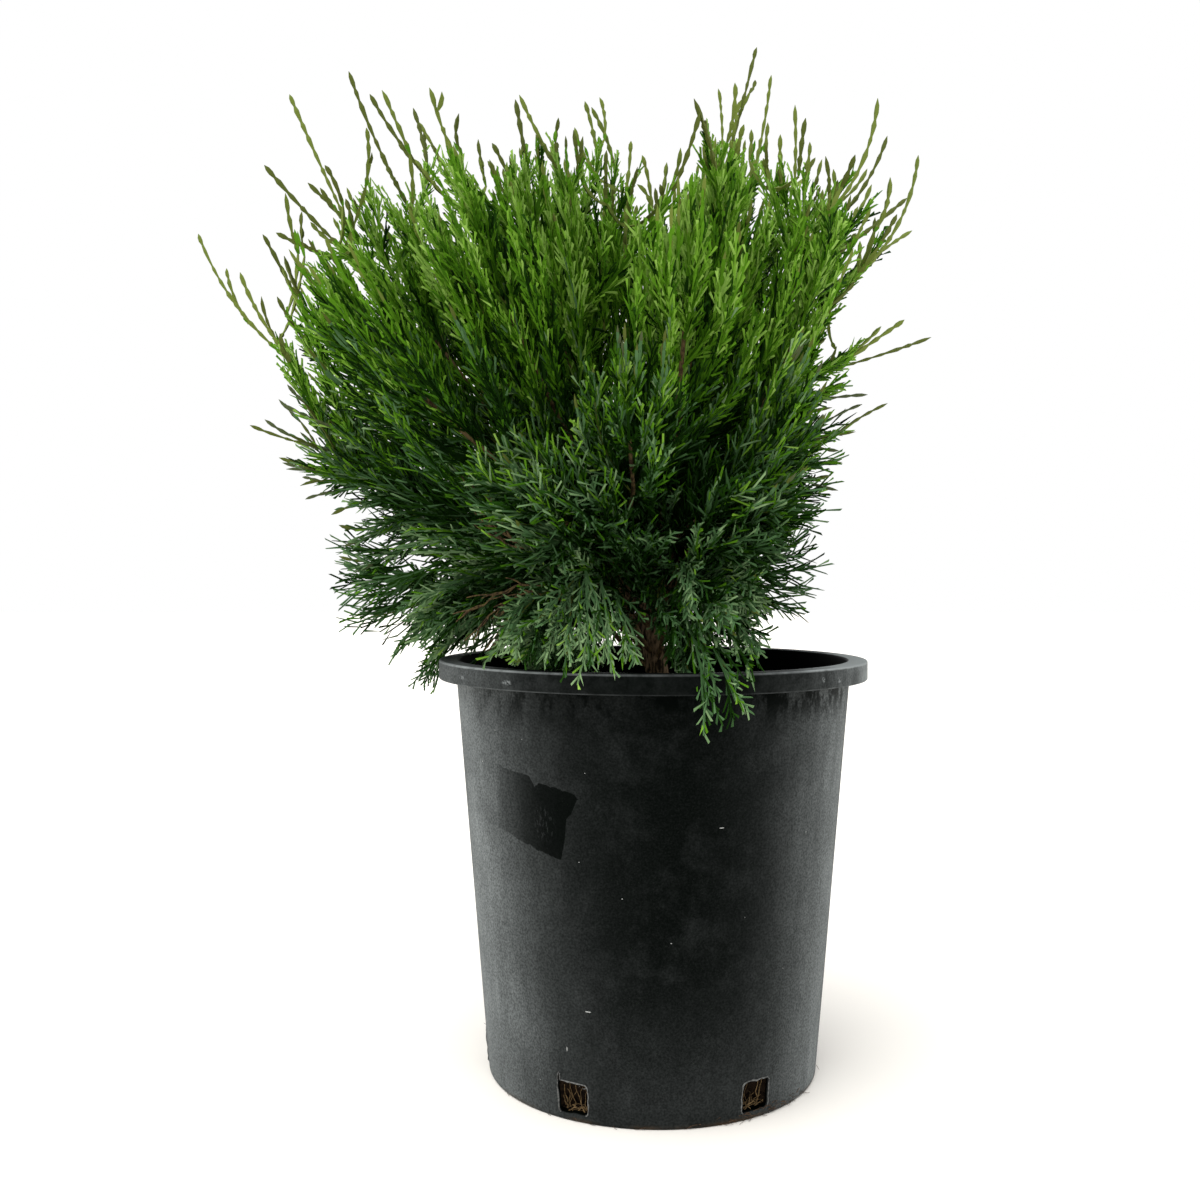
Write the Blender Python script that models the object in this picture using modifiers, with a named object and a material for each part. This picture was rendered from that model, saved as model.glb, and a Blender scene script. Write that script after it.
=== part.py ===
"""Potted savin juniper: a black nursery pot, its potting mix, a short trunk, the boughs
that spread from it and the plumes of foliage that they carry.

Metres, +Z up. The origin is the centre of the pot's flat underside, and the side that the
photograph shows faces -Y. Turns are counted from +X towards +Y, and rises from level."""

import math
from collections import namedtuple

import bmesh
import bpy
import numpy as np
from mathutils import Matrix

# Sizes of the pot
POT_HEIGHT = 0.2400
RIM_RADIUS = 0.1250
RIM_BAND = 0.0107
RIM_PLATE = 0.0028
LIP_WALL = 0.0022
WALL_TOP_RADIUS = 0.1148
BASE_RADIUS = 0.0963
WALL = 0.0024
FLOOR = 0.0030
FOOT_ROUND = 0.0015
RIM_EDGE = 0.0008
POT_STEPS = 48
MIX_STEPS = 24
DRAIN_HOLES = 6
DRAIN_TURN = 242.3
DRAIN_WIDTH = 0.0185
DRAIN_LOW = 0.0038
DRAIN_HIGH = 0.0215
DRAIN_DEPTH = 0.0300

# Sizes of the potting mix, and the clearances
CLEAR = 0.0003
MIX_TOP = 0.2150
MIX_DOME = 0.0020
MIX_SHOULDER = 0.0500
MIX_SHOULDER_DOME = 0.70
KEEP_OFF = 0.0008
KEEP_OFF_WALL = 0.0010
CUT_CLEAR = 0.00035
SLIVER = 0.00002

# Sizes of the trunk and of the limbs
HEART = np.array((-0.0040, 0.0, 0.2990))
TRUNK_FOOT = np.array((0.0035, 0.0040, MIX_TOP + MIX_DOME + CLEAR))
TRUNK_RADIUS = 0.0068
TRUNK_TIP_RADIUS = 0.0046
ROOT_FLARE = 0.0060
FLARE_HEIGHT = 0.0070
TRUNK_RINGS = 10
TRUNK_RING_CROWDING = 1.3
LIMB_RINGS = 5
LIMB_TAPER = 0.60
LIMB_ROOT = 0.0028
LIMB_SETTLES = 0.35
SEAT_ORDER = 5

# Sizes of the foliage
STEM_RADIUS = 0.0016
STEM_TIP_RADIUS = 0.0006
STEM_RINGS = 5
TWIG_RADIUS = 0.0010
TWIG_TIP_RADIUS = 0.0005
TWIG_RINGS = 3
TWIGS_TO_A_PLUME = 5
FIRST_TWIG = 0.10
FIRST_TWIG_ON_TRUNK = 0.24
LAST_TWIG = 0.96
TWIG_OPENING = 38.0
TWIG_LENGTH = 0.46
TWIG_SHORTENS = 0.28
TWIG_BEND = 0.35
SPRAYS_ALONG_TWIG = (0.50,)
SPRAYS_ALONG_STEM = (0.40, 0.66, 0.90)
SPRAY_OPENING = 30.0
SPRAY_LENGTH = 0.055
SPRAY_WIDTH = 0.0150
SPRAY_THICKNESS = 0.0066
SPRAY_BELLY = 0.30
SPRAY_ROOT = 0.0030
POINTED = 5.0
GOLDEN_TURN = 137.508
SHORTER = np.array((1.0, 0.8, 0.62, 0.46))
TESTED_SHARES = np.linspace(0.12, 1.0, 12)
DEEP_RISE = 25.0

# How far the plumes and twigs stray from the even pattern, and the seeds they stray by
TURN_PLAY = 5.0
RISE_PLAY = 4.0
TWIST_PLAY = 8.0
LEAST_REACH = 0.95
TWIG_LEAST = 0.85
TWIG_MOST = 1.10
SEED = 320
TWIG_SEED = 2

# A tier of plumes: how many, the turn of the first, the rise at the tip and at the heart,
# the reach to the left, to the right and to the front, how far out its limbs run bare,
# the limbs' radius, and the lowest and highest seat as shares of the trunk's height.
Tier = namedtuple(
    "Tier", "name count turn rise root_rise left right front bare radius low high"
)
TIERS = (
    Tier("upper", 7, 174, 56, 40, 0.344, 0.276, 0.256, 0.070, 0.0027, 0.58, 0.82),
    Tier("crown", 4, 38, 73, 64, 0.284, 0.338, 0.248, 0.065, 0.0019, 0.88, 0.88),
    Tier("shoulder", 7, 214, 37, 22, 0.354, 0.186, 0.200, 0.065, 0.0020, 0.0, 0.0),
    Tier("middle", 6, 178, 18, 4, 0.232, 0.114, 0.148, 0.0, STEM_RADIUS, 0.37, 0.50),
    Tier("hanging", 7, 186, -21, -5, 0.176, 0.094, 0.144, 0.0, STEM_RADIUS, 0.20, 0.34),
)
SIDE_TIER = "shoulder"
CARRIER_TIER = "upper"
SIDE_SEAT = 0.45

Plume = namedtuple("Plume", "name tier turn twist rise reach first start")
Limb = namedtuple("Limb", "name points radii")
Twig = namedtuple("Twig", "points radii")
Spray = namedtuple("Spray", "root direction side length")


def heading(turn, rise):
    """Unit directions for turns and rises in degrees."""
    turn, rise = np.radians(turn), np.radians(rise)
    level = np.cos(rise)
    return np.stack((level * np.cos(turn), level * np.sin(turn), np.sin(rise)), axis=-1)


def smooth(share):
    share = np.clip(share, 0.0, 1.0)
    return share * share * (3.0 - 2.0 * share)


def unit(vectors):
    return vectors / np.linalg.norm(vectors, axis=-1, keepdims=True)


def trunk_point(share):
    """A point on the trunk's middle line, which leans a little between foot and fork."""
    lean = np.array((smooth(share), smooth(share), share))
    return TRUNK_FOOT + (HEART - TRUNK_FOOT) * lean


def trunk_radius(share):
    flare = ROOT_FLARE * math.exp(-share * (HEART[2] - TRUNK_FOOT[2]) / FLARE_HEIGHT)
    return TRUNK_RADIUS + (TRUNK_TIP_RADIUS - TRUNK_RADIUS) * share + flare


def reach_towards(tier, turn):
    """A tier's reach runs evenly from right to left, and is drawn in at the front."""
    turn = math.radians(turn)
    leftward = 0.5 - 0.5 * math.cos(turn)
    frontward = max(0.0, -math.sin(turn)) ** 2
    sideways = tier.right + (tier.left - tier.right) * leftward
    return sideways + (tier.front - sideways) * frontward


def make_plumes():
    """Every plume by name, tier by tier. A side tier's limbs leave another tier's limbs."""
    rng = np.random.default_rng(SEED)
    plumes = {}
    for tier in TIERS:
        for index in range(tier.count):
            turn = tier.turn + 360.0 * index / tier.count + rng.uniform(-TURN_PLAY, TURN_PLAY)
            reach = reach_towards(tier, turn) * rng.uniform(LEAST_REACH, 1.0)
            rise = tier.rise + rng.uniform(-RISE_PLAY, RISE_PLAY)
            twist = rng.uniform(-TWIST_PLAY, TWIST_PLAY)
            if tier.name == SIDE_TIER:
                carrier = plumes[f"{CARRIER_TIER}_plume_{index + 1}"]
                first = SIDE_SEAT * carrier.tier.bare
                start = limb_line(carrier, np.array((first,)))[0]
            else:
                stagger = (index * SEAT_ORDER) % tier.count / (tier.count - 1)
                first = LIMB_ROOT
                start = trunk_point(tier.low + (tier.high - tier.low) * stagger)
            name = f"{tier.name}_plume_{index + 1}"
            plumes[name] = Plume(name, tier, turn, twist, rise, reach, first, start)
    return plumes


def axis_direction(plume, distance):
    """Where a plume's middle line points from the heart, at that distance from the heart."""
    inward = 1.0 - np.clip(distance / plume.reach, 0.0, 1.0)
    turn = plume.turn + plume.twist * inward
    rise = plume.rise + (plume.tier.root_rise - plume.tier.rise) * inward
    return heading(turn, rise)


def limb_line(plume, distance):
    """The line of a plume's limb and stem: from its seat, it settles onto the plume's axis."""
    axis = HEART + distance[:, None] * axis_direction(plume, distance)
    first = plume.first if plume.tier.name == SIDE_TIER else 0.0
    seat = HEART + first * axis_direction(plume, np.array(first))
    settle = LIMB_SETTLES * (plume.reach - first)
    offset = 1.0 - smooth((distance - first) / settle)
    return axis + (plume.start - seat) * offset[:, None]


def place_on(points, share):
    """The point at a share of the way along a line of points, and the way it runs there."""
    place = share * (len(points) - 1)
    low = min(int(place), len(points) - 2)
    run = points[low + 1] - points[low]
    return points[low] + (place - low) * run, unit(run)


def make_limbs(plumes):
    """The trunk and each bough, as middle lines with a radius at every point."""
    share = np.linspace(0.0, 1.0, TRUNK_RINGS) ** TRUNK_RING_CROWDING
    points = np.array([trunk_point(s) for s in share])
    radii = np.array([trunk_radius(s) for s in share])
    limbs = {"trunk": Limb("trunk", points, radii)}
    for plume in plumes.values():
        tier = plume.tier
        if tier.bare:
            distance = np.linspace(plume.first, tier.bare - CLEAR / 2, LIMB_RINGS)
            radii = np.linspace(tier.radius, tier.radius * LIMB_TAPER, LIMB_RINGS)
            name = plume.name.replace("plume", "bough")
            limbs[name] = Limb(name, limb_line(plume, distance), radii)
    return limbs


def make_stems(plumes):
    """The stem that each plume's twigs grow on, from its bough's tip or from the trunk."""
    stems = {}
    for plume in plumes.values():
        low = plume.tier.bare + CLEAR / 2 if plume.tier.bare else plume.first
        high = plume.reach - SPRAY_LENGTH + 0.5 * SPRAY_ROOT
        width = plume.tier.radius * LIMB_TAPER if plume.tier.bare else STEM_RADIUS
        distance = np.linspace(low, high, STEM_RINGS)
        radii = np.linspace(width, STEM_TIP_RADIUS, STEM_RINGS)
        stems[plume.name] = Limb(plume.name, limb_line(plume, distance), radii)
    return stems


class Space:
    """What a plume may fill: the part of the air that lies nearer to its own axis than to
    any other plume's, as seen from the heart, clear of all limbs, of the pot and of the mix."""

    def __init__(self, plumes, limbs, stems):
        self.plumes = list(plumes.values())
        self.parts = [*limbs.values(), *stems.values()]
        self.low = np.concatenate([part.points[:-1] for part in self.parts])
        self.high = np.concatenate([part.points[1:] for part in self.parts])
        self.radius = np.concatenate([np.maximum(p.radii[:-1], p.radii[1:]) for p in self.parts])
        self.owner = np.concatenate([[p.name] * (len(p.points) - 1) for p in self.parts])

    def room(self, plume, points):
        """The least distance from any of the points to the side of the plume's own cell,
        which narrows to a point at its reach."""
        offset = points - HEART
        distance = np.linalg.norm(offset, axis=1)
        toward = offset / distance[:, None]
        angles = []
        for other in self.plumes:
            cosine = np.sum(toward * axis_direction(other, distance), axis=1)
            angles.append(np.arccos(np.clip(cosine, -1.0, 1.0)))
        own = angles.pop(self.plumes.index(plume))
        if np.any(distance > plume.reach * np.cos(own) ** POINTED):
            return -1.0
        return float(np.min(0.5 * distance * (np.min(angles, axis=0) - own)))

    def gap(self, points, leave_out):
        """The least distance from any of the points to a limb or stem but those left out."""
        kept = ~np.isin(self.owner, leave_out)
        low, run = self.low[kept], (self.high - self.low)[kept]
        offset = points[:, None, :] - low
        share = np.clip(np.sum(offset * run, axis=2) / np.sum(run * run, axis=1), 0.0, 1.0)
        off = np.linalg.norm(offset - share[:, :, None] * run, axis=2) - self.radius[kept]
        return float(np.min(off))

    def clear_of_pot(self, points, margin):
        """True where the points stay over the mix, and over or outside the pot's rim."""
        out = np.hypot(points[:, 0], points[:, 1])
        over_rim = points[:, 2] > POT_HEIGHT + margin
        inside = out < WALL_TOP_RADIUS - WALL - KEEP_OFF_WALL - margin
        over_mix = points[:, 2] > MIX_TOP + MIX_DOME + margin
        outside = out > RIM_RADIUS + margin
        return bool(np.all(over_rim | outside | (inside & over_mix)))

    def holds(self, plume, points, margin, leave_out):
        if not self.clear_of_pot(points, margin):
            return False
        if self.room(plume, points) < margin:
            return False
        return self.gap(points, leave_out) > margin


def side_of(direction, spin):
    """A unit vector square to the direction, turned about it by the spin in degrees."""
    upright = np.array((0.0, 0.0, 1.0))
    across = unit(np.cross(direction, upright))
    over = np.cross(across, direction)
    return math.cos(math.radians(spin)) * across + math.sin(math.radians(spin)) * over


def lean_out(direction, side, opening):
    opening = math.radians(opening)
    return math.cos(opening) * direction + math.sin(opening) * side


def spray_edges(spray):
    """Points along the edges of a spray, from close to its root out to its tip."""
    over = np.cross(spray.direction, spray.side)
    tip = spray.root + spray.length * spray.direction
    belly = spray.root + SPRAY_BELLY * spray.length * spray.direction
    inner = np.array((0.35, 0.7, 1.0))[:, None]
    outer = np.linspace(0.14, 1.0, 7)[:, None]
    points = []
    for share in (-0.5, 0.5):
        for reach in (share * SPRAY_WIDTH * spray.side, share * SPRAY_THICKNESS * over):
            corner = belly + reach
            points.append(spray.root + inner * (corner - spray.root))
            points.append(corner + outer * (tip - corner))
    return np.concatenate(points)


def grow(plume, stem, space, rng):
    """The twigs and sprays of one plume, those that its space has no room for left out."""
    twigs = []
    sprays = sprays_on(plume, stem, SPRAYS_ALONG_STEM, space, rng)
    radii = np.linspace(TWIG_RADIUS, TWIG_TIP_RADIUS, TWIG_RINGS)
    run = plume.reach - plume.tier.bare
    first = FIRST_TWIG if plume.tier.bare else FIRST_TWIG_ON_TRUNK
    spin = rng.uniform(0.0, 360.0)
    for share in np.linspace(first, LAST_TWIG, TWIGS_TO_A_PLUME):
        spin += GOLDEN_TURN
        length = run * (TWIG_LENGTH - TWIG_SHORTENS * share)
        length *= rng.uniform(TWIG_LEAST, TWIG_MOST)
        base, ahead = place_on(stem.points, share)
        out = lean_out(ahead, side_of(ahead, spin), TWIG_OPENING)
        for part in SHORTER:
            along = np.linspace(0.0, 1.0, TWIG_RINGS)[:, None]
            bend = TWIG_BEND * along * along * (ahead - out)
            points = base + part * length * (along * out + bend)
            beyond = np.array([place_on(points, share)[0] for share in TESTED_SHARES])
            if space.holds(plume, beyond, TWIG_RADIUS + KEEP_OFF, [plume.name]):
                twigs.append(Twig(points, radii))
                sprays += sprays_on(plume, twigs[-1], SPRAYS_ALONG_TWIG, space, rng)
                break
    return twigs, sprays


def sprays_on(plume, twig, shares, space, rng):
    """A spray at the twig's tip, sunk in along it, and others on alternate sides of it."""
    tip_way = unit(twig.points[-1] - twig.points[-2])
    flat = side_of(tip_way, rng.uniform(0.0, 180.0))
    tries = [(twig.points[-1] - SPRAY_ROOT * tip_way, tip_way)]
    for number, share in enumerate(shares):
        hand = 1.0 if number % 2 else -1.0
        base, ahead = place_on(twig.points, share)
        tries.append((base, lean_out(ahead, hand * flat, SPRAY_OPENING)))
    kept = []
    for root, way in tries:
        side = unit(flat - np.dot(flat, way) * way)
        for length in SPRAY_LENGTH * SHORTER:
            spray = Spray(root, way, side, length)
            if space.holds(plume, spray_edges(spray), KEEP_OFF, [plume.name]):
                kept.append(spray)
                break
    return kept


def clear_scene():
    for old in list(bpy.data.objects):
        bpy.data.objects.remove(old)


def new_collection(name):
    collection = bpy.data.collections.new(name)
    bpy.context.scene.collection.children.link(collection)
    return collection


def new_material(name, colour, roughness):
    material = bpy.data.materials.new(name)
    material.use_nodes = True
    shader = material.node_tree.nodes["Principled BSDF"]
    shader.inputs["Base Color"].default_value = (*colour, 1.0)
    shader.inputs["Roughness"].default_value = roughness
    shader.inputs["Metallic"].default_value = 0.0
    return material


def add_object(name, mesh, collection, material=None):
    item = bpy.data.objects.new(name, mesh)
    collection.objects.link(item)
    if material:
        mesh.materials.clear()
        mesh.materials.append(material)
    return item


def weld(mesh, distance=1e-6):
    work = bmesh.new()
    work.from_mesh(mesh)
    bmesh.ops.remove_doubles(work, verts=work.verts, dist=distance)
    work.to_mesh(mesh)
    work.free()


def drop_slivers(mesh):
    """Closes up the edges and faces that a union leaves too small to tell apart."""
    work = bmesh.new()
    work.from_mesh(mesh)
    bmesh.ops.triangulate(work, faces=work.faces)
    bmesh.ops.dissolve_degenerate(work, dist=SLIVER, edges=work.edges)
    bmesh.ops.triangulate(work, faces=work.faces)
    work.to_mesh(mesh)
    work.free()


def apply_modifiers(item):
    graph = bpy.context.evaluated_depsgraph_get()
    mesh = bpy.data.meshes.new_from_object(item.evaluated_get(graph))
    item.modifiers.clear()
    item.data = mesh


def triangle_guide(collection):
    """The three-sided outline that twigs and stems are swept with, of radius 1."""
    curve = bpy.data.curves.new("three_sided_outline", "CURVE")
    spline = curve.splines.new("POLY")
    spline.points.add(2)
    spline.use_cyclic_u = True
    for number, point in enumerate(spline.points):
        angle = -2.0 * math.pi * number / 3.0
        point.co = (math.cos(angle), math.sin(angle), 0.0, 1.0)
    guide = bpy.data.objects.new("three_sided_outline", curve)
    collection.objects.link(guide)
    guide.hide_render = True
    guide.display_type = "WIRE"
    return guide


def tube_curve(name, points, radii, collection, outline=None, resolution=2):
    """A tapering tube along the points: round, or swept with the outline."""
    curve = bpy.data.curves.new(name, "CURVE")
    curve.dimensions = "3D"
    curve.use_fill_caps = True
    if outline:
        curve.bevel_mode = "OBJECT"
        curve.bevel_object = outline
    else:
        curve.bevel_depth = 1.0
        curve.bevel_resolution = resolution
    spline = curve.splines.new("POLY")
    spline.points.add(len(points) - 1)
    for point, place, radius in zip(spline.points, points, radii):
        point.co = (*place, 1.0)
        point.radius = radius
    item = bpy.data.objects.new(name, curve)
    collection.objects.link(item)
    return item


def curves_to_meshes(curves, collection, material=None):
    """Turns curve objects into closed mesh objects of the same names."""
    graph = bpy.context.evaluated_depsgraph_get()
    made = []
    for item in curves:
        mesh = bpy.data.meshes.new_from_object(item.evaluated_get(graph))
        weld(mesh)
        name = item.name
        item.name = name + "_curve"
        made.append(add_object(name, mesh, collection, material))
    for item in curves:
        bpy.data.curves.remove(item.data)
    return made


def spray_object(spray, collection):
    """A spray of foliage: an eight-faced spindle that is widest a third of the way out."""
    work = bmesh.new()
    bmesh.ops.create_uvsphere(work, u_segments=4, v_segments=2, radius=0.5)
    over = np.cross(spray.direction, spray.side)
    place = Matrix((
        (*(spray.side * SPRAY_WIDTH), 0.0),
        (*(over * SPRAY_THICKNESS), 0.0),
        (*(spray.direction * spray.length), 0.0),
        (*spray.root, 1.0),
    )).transposed()
    for vert in work.verts:
        level = vert.co.z
        vert.co.z = SPRAY_BELLY if abs(level) < 0.1 else level + 0.5
    bmesh.ops.transform(work, matrix=place, verts=work.verts)
    bmesh.ops.recalc_face_normals(work, faces=work.faces)
    mesh = bpy.data.meshes.new("spray")
    work.to_mesh(mesh)
    work.free()
    return add_object("spray", mesh, collection)


def cut(item, cutter):
    modifier = item.modifiers.new("cut", "BOOLEAN")
    modifier.operation = "DIFFERENCE"
    modifier.solver = "EXACT"
    modifier.object = cutter


def fuse(item, pieces):
    """Joins the pieces to the item by one union, and removes them."""
    modifier = item.modifiers.new("union", "BOOLEAN")
    modifier.operation = "UNION"
    modifier.operand_type = "COLLECTION"
    modifier.collection = pieces
    modifier.solver = "EXACT"
    apply_modifiers(item)
    drop_slivers(item.data)
    for piece in list(pieces.objects):
        bpy.data.meshes.remove(piece.data)
    bpy.data.collections.remove(pieces)


def wall_slope():
    """How fast the pot's wall moves out as it goes up."""
    return (WALL_TOP_RADIUS - BASE_RADIUS) / (POT_HEIGHT - RIM_BAND)


def pot_profile():
    """Half of the pot's section: up the inside from the axis, over the rim, down the outside."""
    slope = wall_slope()
    under_plate = POT_HEIGHT - RIM_PLATE
    wall_under_plate = BASE_RADIUS + slope * under_plate
    inner_top = BASE_RADIUS + slope * POT_HEIGHT - WALL
    inner_floor = BASE_RADIUS + slope * FLOOR - WALL
    return [
        (0.0, FLOOR),
        (inner_floor, FLOOR),
        (inner_top, POT_HEIGHT - RIM_EDGE),
        (inner_top + RIM_EDGE, POT_HEIGHT),
        (RIM_RADIUS - RIM_EDGE, POT_HEIGHT),
        (RIM_RADIUS, POT_HEIGHT - RIM_EDGE),
        (RIM_RADIUS, POT_HEIGHT - RIM_BAND),
        (RIM_RADIUS - LIP_WALL, POT_HEIGHT - RIM_BAND),
        (RIM_RADIUS - LIP_WALL, under_plate),
        (wall_under_plate, under_plate),
        (BASE_RADIUS + slope * FOOT_ROUND, FOOT_ROUND),
        (BASE_RADIUS - FOOT_ROUND, 0.0),
        (0.0, 0.0),
    ]


def turned(name, profile, steps, collection, material):
    """A profile turned about Z by a Screw."""
    mesh = bpy.data.meshes.new(name)
    points = [(radius, 0.0, height) for radius, height in profile]
    edges = [(number, number + 1) for number in range(len(points) - 1)]
    mesh.from_pydata(points, edges, [])
    item = add_object(name, mesh, collection, material)
    screw = item.modifiers.new("turn", "SCREW")
    screw.steps = steps
    screw.render_steps = steps
    screw.use_merge_vertices = True
    screw.merge_threshold = 0.00001
    screw.use_normal_calculate = True
    return item


def drain_cutter(index, collection):
    """A square bar that goes out through the wall at the foot of the pot."""
    turn = math.radians(DRAIN_TURN + 360.0 * index / DRAIN_HOLES)
    size = (DRAIN_DEPTH, DRAIN_WIDTH, DRAIN_HIGH - DRAIN_LOW)
    work = bmesh.new()
    bmesh.ops.create_cube(work, size=1.0)
    bmesh.ops.scale(work, vec=size, verts=work.verts)
    mesh = bpy.data.meshes.new("drain_cutter")
    work.to_mesh(mesh)
    work.free()
    cutter = add_object(f"drain_cutter_{index + 1}", mesh, collection)
    middle = (DRAIN_LOW + DRAIN_HIGH) / 2
    cutter.location = (BASE_RADIUS * math.cos(turn), BASE_RADIUS * math.sin(turn), middle)
    cutter.rotation_euler = (0.0, 0.0, turn)
    cutter.hide_render = True
    cutter.display_type = "WIRE"
    return cutter


def make_pot(parts, cutters, plastic):
    pot = turned("pot", pot_profile(), POT_STEPS, parts, plastic)
    for index in range(DRAIN_HOLES):
        cut(pot, drain_cutter(index, cutters))
    return pot


def make_mix(parts, earth):
    """The potting mix: a plug that fills the pot 0.3 mm clear of wall and floor."""
    slope = wall_slope()
    inset = BASE_RADIUS - WALL - 2 * CLEAR
    low = FLOOR + CLEAR
    profile = [
        (0.0, MIX_TOP + MIX_DOME),
        (MIX_SHOULDER, MIX_TOP + MIX_SHOULDER_DOME * MIX_DOME),
        (inset + slope * MIX_TOP, MIX_TOP),
        (inset + slope * low, low),
        (0.0, low),
    ]
    return turned("potting_mix", profile, MIX_STEPS, parts, earth)


def make_limb_objects(limbs, parts, cutters, bark):
    """The trunk and boughs. Each bough is cut back from what carries it by a wider copy."""
    made = {}
    wide = {}
    for limb in limbs.values():
        rounder = 2 if limb.name == "trunk" else 1
        curve = tube_curve(limb.name, limb.points, limb.radii, parts, resolution=rounder)
        made[limb.name] = curves_to_meshes([curve], parts, bark)[0]
        if limb.name == "trunk" or limb.name.startswith(CARRIER_TIER):
            name = limb.name + "_cutter"
            radii = limb.radii + CUT_CLEAR
            curve = tube_curve(name, limb.points, radii, cutters, resolution=rounder)
            wide[limb.name] = curves_to_meshes([curve], cutters)[0]
            wide[limb.name].hide_render = True
            wide[limb.name].display_type = "WIRE"
    for name, item in made.items():
        if name.startswith(SIDE_TIER):
            cut(item, wide[name.replace(SIDE_TIER, CARRIER_TIER)])
        elif name != "trunk":
            cut(item, wide["trunk"])
    return wide["trunk"]


def make_foliage(plumes, limbs, parts, cutters, trunk_cutter, upper, lower):
    """Each plume as one solid: its stem with the twigs and sprays joined to it."""
    stems = make_stems(plumes)
    space = Space(plumes, limbs, stems)
    outline = triangle_guide(cutters)
    rng = np.random.default_rng(TWIG_SEED)
    for plume in plumes.values():
        stem = stems[plume.name]
        twigs, sprays = grow(plume, stem, space, rng)
        pieces = new_collection("pieces")
        stem_curve = tube_curve(plume.name, stem.points, stem.radii, parts, outline)
        green = lower if plume.rise < DEEP_RISE else upper
        item = curves_to_meshes([stem_curve], parts, green)[0]
        curves = [tube_curve("twig", t.points, t.radii, pieces, outline) for t in twigs]
        curves_to_meshes(curves, pieces)
        for spray in sprays:
            spray_object(spray, pieces)
        if not plume.tier.bare:
            cut(item, trunk_cutter)
        fuse(item, pieces)


def main():
    clear_scene()
    parts = new_collection("potted_savin_juniper")
    cutters = new_collection("cutters")
    plastic = new_material("black_plastic", (0.030, 0.032, 0.033), 0.55)
    earth = new_material("potting_mix", (0.045, 0.028, 0.018), 0.95)
    bark = new_material("bark", (0.150, 0.085, 0.050), 0.85)
    upper = new_material("bright_foliage", (0.120, 0.250, 0.045), 0.6)
    lower = new_material("deep_foliage", (0.045, 0.120, 0.060), 0.65)

    make_pot(parts, cutters, plastic)
    make_mix(parts, earth)
    plumes = make_plumes()
    limbs = make_limbs(plumes)
    trunk_cutter = make_limb_objects(limbs, parts, cutters, bark)
    make_foliage(plumes, limbs, parts, cutters, trunk_cutter, upper, lower)


main()
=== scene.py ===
"""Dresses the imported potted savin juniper: its black nursery pot, the potting mix with bark
chips and roots, the bark of its trunk and boughs, and the fine scaly branchlets of its
foliage, on a pale studio floor.

Metres, +Z up. The origin is the centre of the pot's flat underside, and the side that the
photograph shows faces -Y. Turns are in degrees from +X towards +Y, and rises from level."""

import math
from collections import namedtuple

import bmesh
import bpy
import numpy as np
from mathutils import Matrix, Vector, noise


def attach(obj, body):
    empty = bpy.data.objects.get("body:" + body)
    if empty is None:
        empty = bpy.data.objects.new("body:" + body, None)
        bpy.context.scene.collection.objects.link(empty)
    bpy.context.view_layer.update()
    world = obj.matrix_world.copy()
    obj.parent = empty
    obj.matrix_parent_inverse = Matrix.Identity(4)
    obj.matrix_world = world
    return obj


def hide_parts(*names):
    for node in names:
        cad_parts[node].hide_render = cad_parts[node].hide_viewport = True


bl_info = {
    "name": "Potted savin juniper",
    "version": (1, 0, 0),
    "blender": (4, 5, 0),
    "location": "View3D > Sidebar > Juniper",
    "description": "Dresses a potted savin juniper with its pot, bark, foliage and studio",
    "category": "Object",
}

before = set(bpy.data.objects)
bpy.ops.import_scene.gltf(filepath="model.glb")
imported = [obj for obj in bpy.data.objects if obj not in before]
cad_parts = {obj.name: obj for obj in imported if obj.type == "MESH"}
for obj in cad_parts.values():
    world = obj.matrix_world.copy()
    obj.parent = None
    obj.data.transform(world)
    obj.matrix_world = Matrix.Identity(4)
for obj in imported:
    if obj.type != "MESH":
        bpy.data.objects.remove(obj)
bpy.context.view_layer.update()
NODES = list(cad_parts)

UP = np.array((0.0, 0.0, 1.0))

# Sizes of the pot and of what it holds, as the frame has them
POT_HEIGHT = 0.2400
RIM_RADIUS = 0.1250
RIM_BAND = 0.0107
WALL_TOP_RADIUS = 0.1148
BASE_RADIUS = 0.0963
WALL = 0.0024
FLOOR = 0.0030
DRAIN_HOLES = 6
DRAIN_TURN = 242.3
DRAIN_WIDTH = 0.0185
DRAIN_LOW = 0.0038
DRAIN_HIGH = 0.0215
MIX_TOP = 0.2150
MIX_DOME = 0.0020
CLEAR = 0.0003
WALL_SLOPE = (WALL_TOP_RADIUS - BASE_RADIUS) / (POT_HEIGHT - RIM_BAND)

# The rule that the trunk, the limbs and the plumes grow by
HEART = np.array((-0.0040, 0.0, 0.2990))
TRUNK_FOOT = np.array((0.0035, 0.0040, MIX_TOP + MIX_DOME + CLEAR))
TRUNK_RADIUS = 0.0068
TRUNK_TIP_RADIUS = 0.0046
ROOT_FLARE = 0.0060
FLARE_HEIGHT = 0.0070
LIMB_TAPER = 0.60
LIMB_ROOT = 0.0028
LIMB_SETTLES = 0.35
SEAT_ORDER = 5
STEM_RADIUS = 0.0016
GOLDEN_TURN = 137.508
TURN_PLAY = 5.0
RISE_PLAY = 4.0
TWIST_PLAY = 8.0
LEAST_REACH = 0.95
SEED = 320

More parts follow.
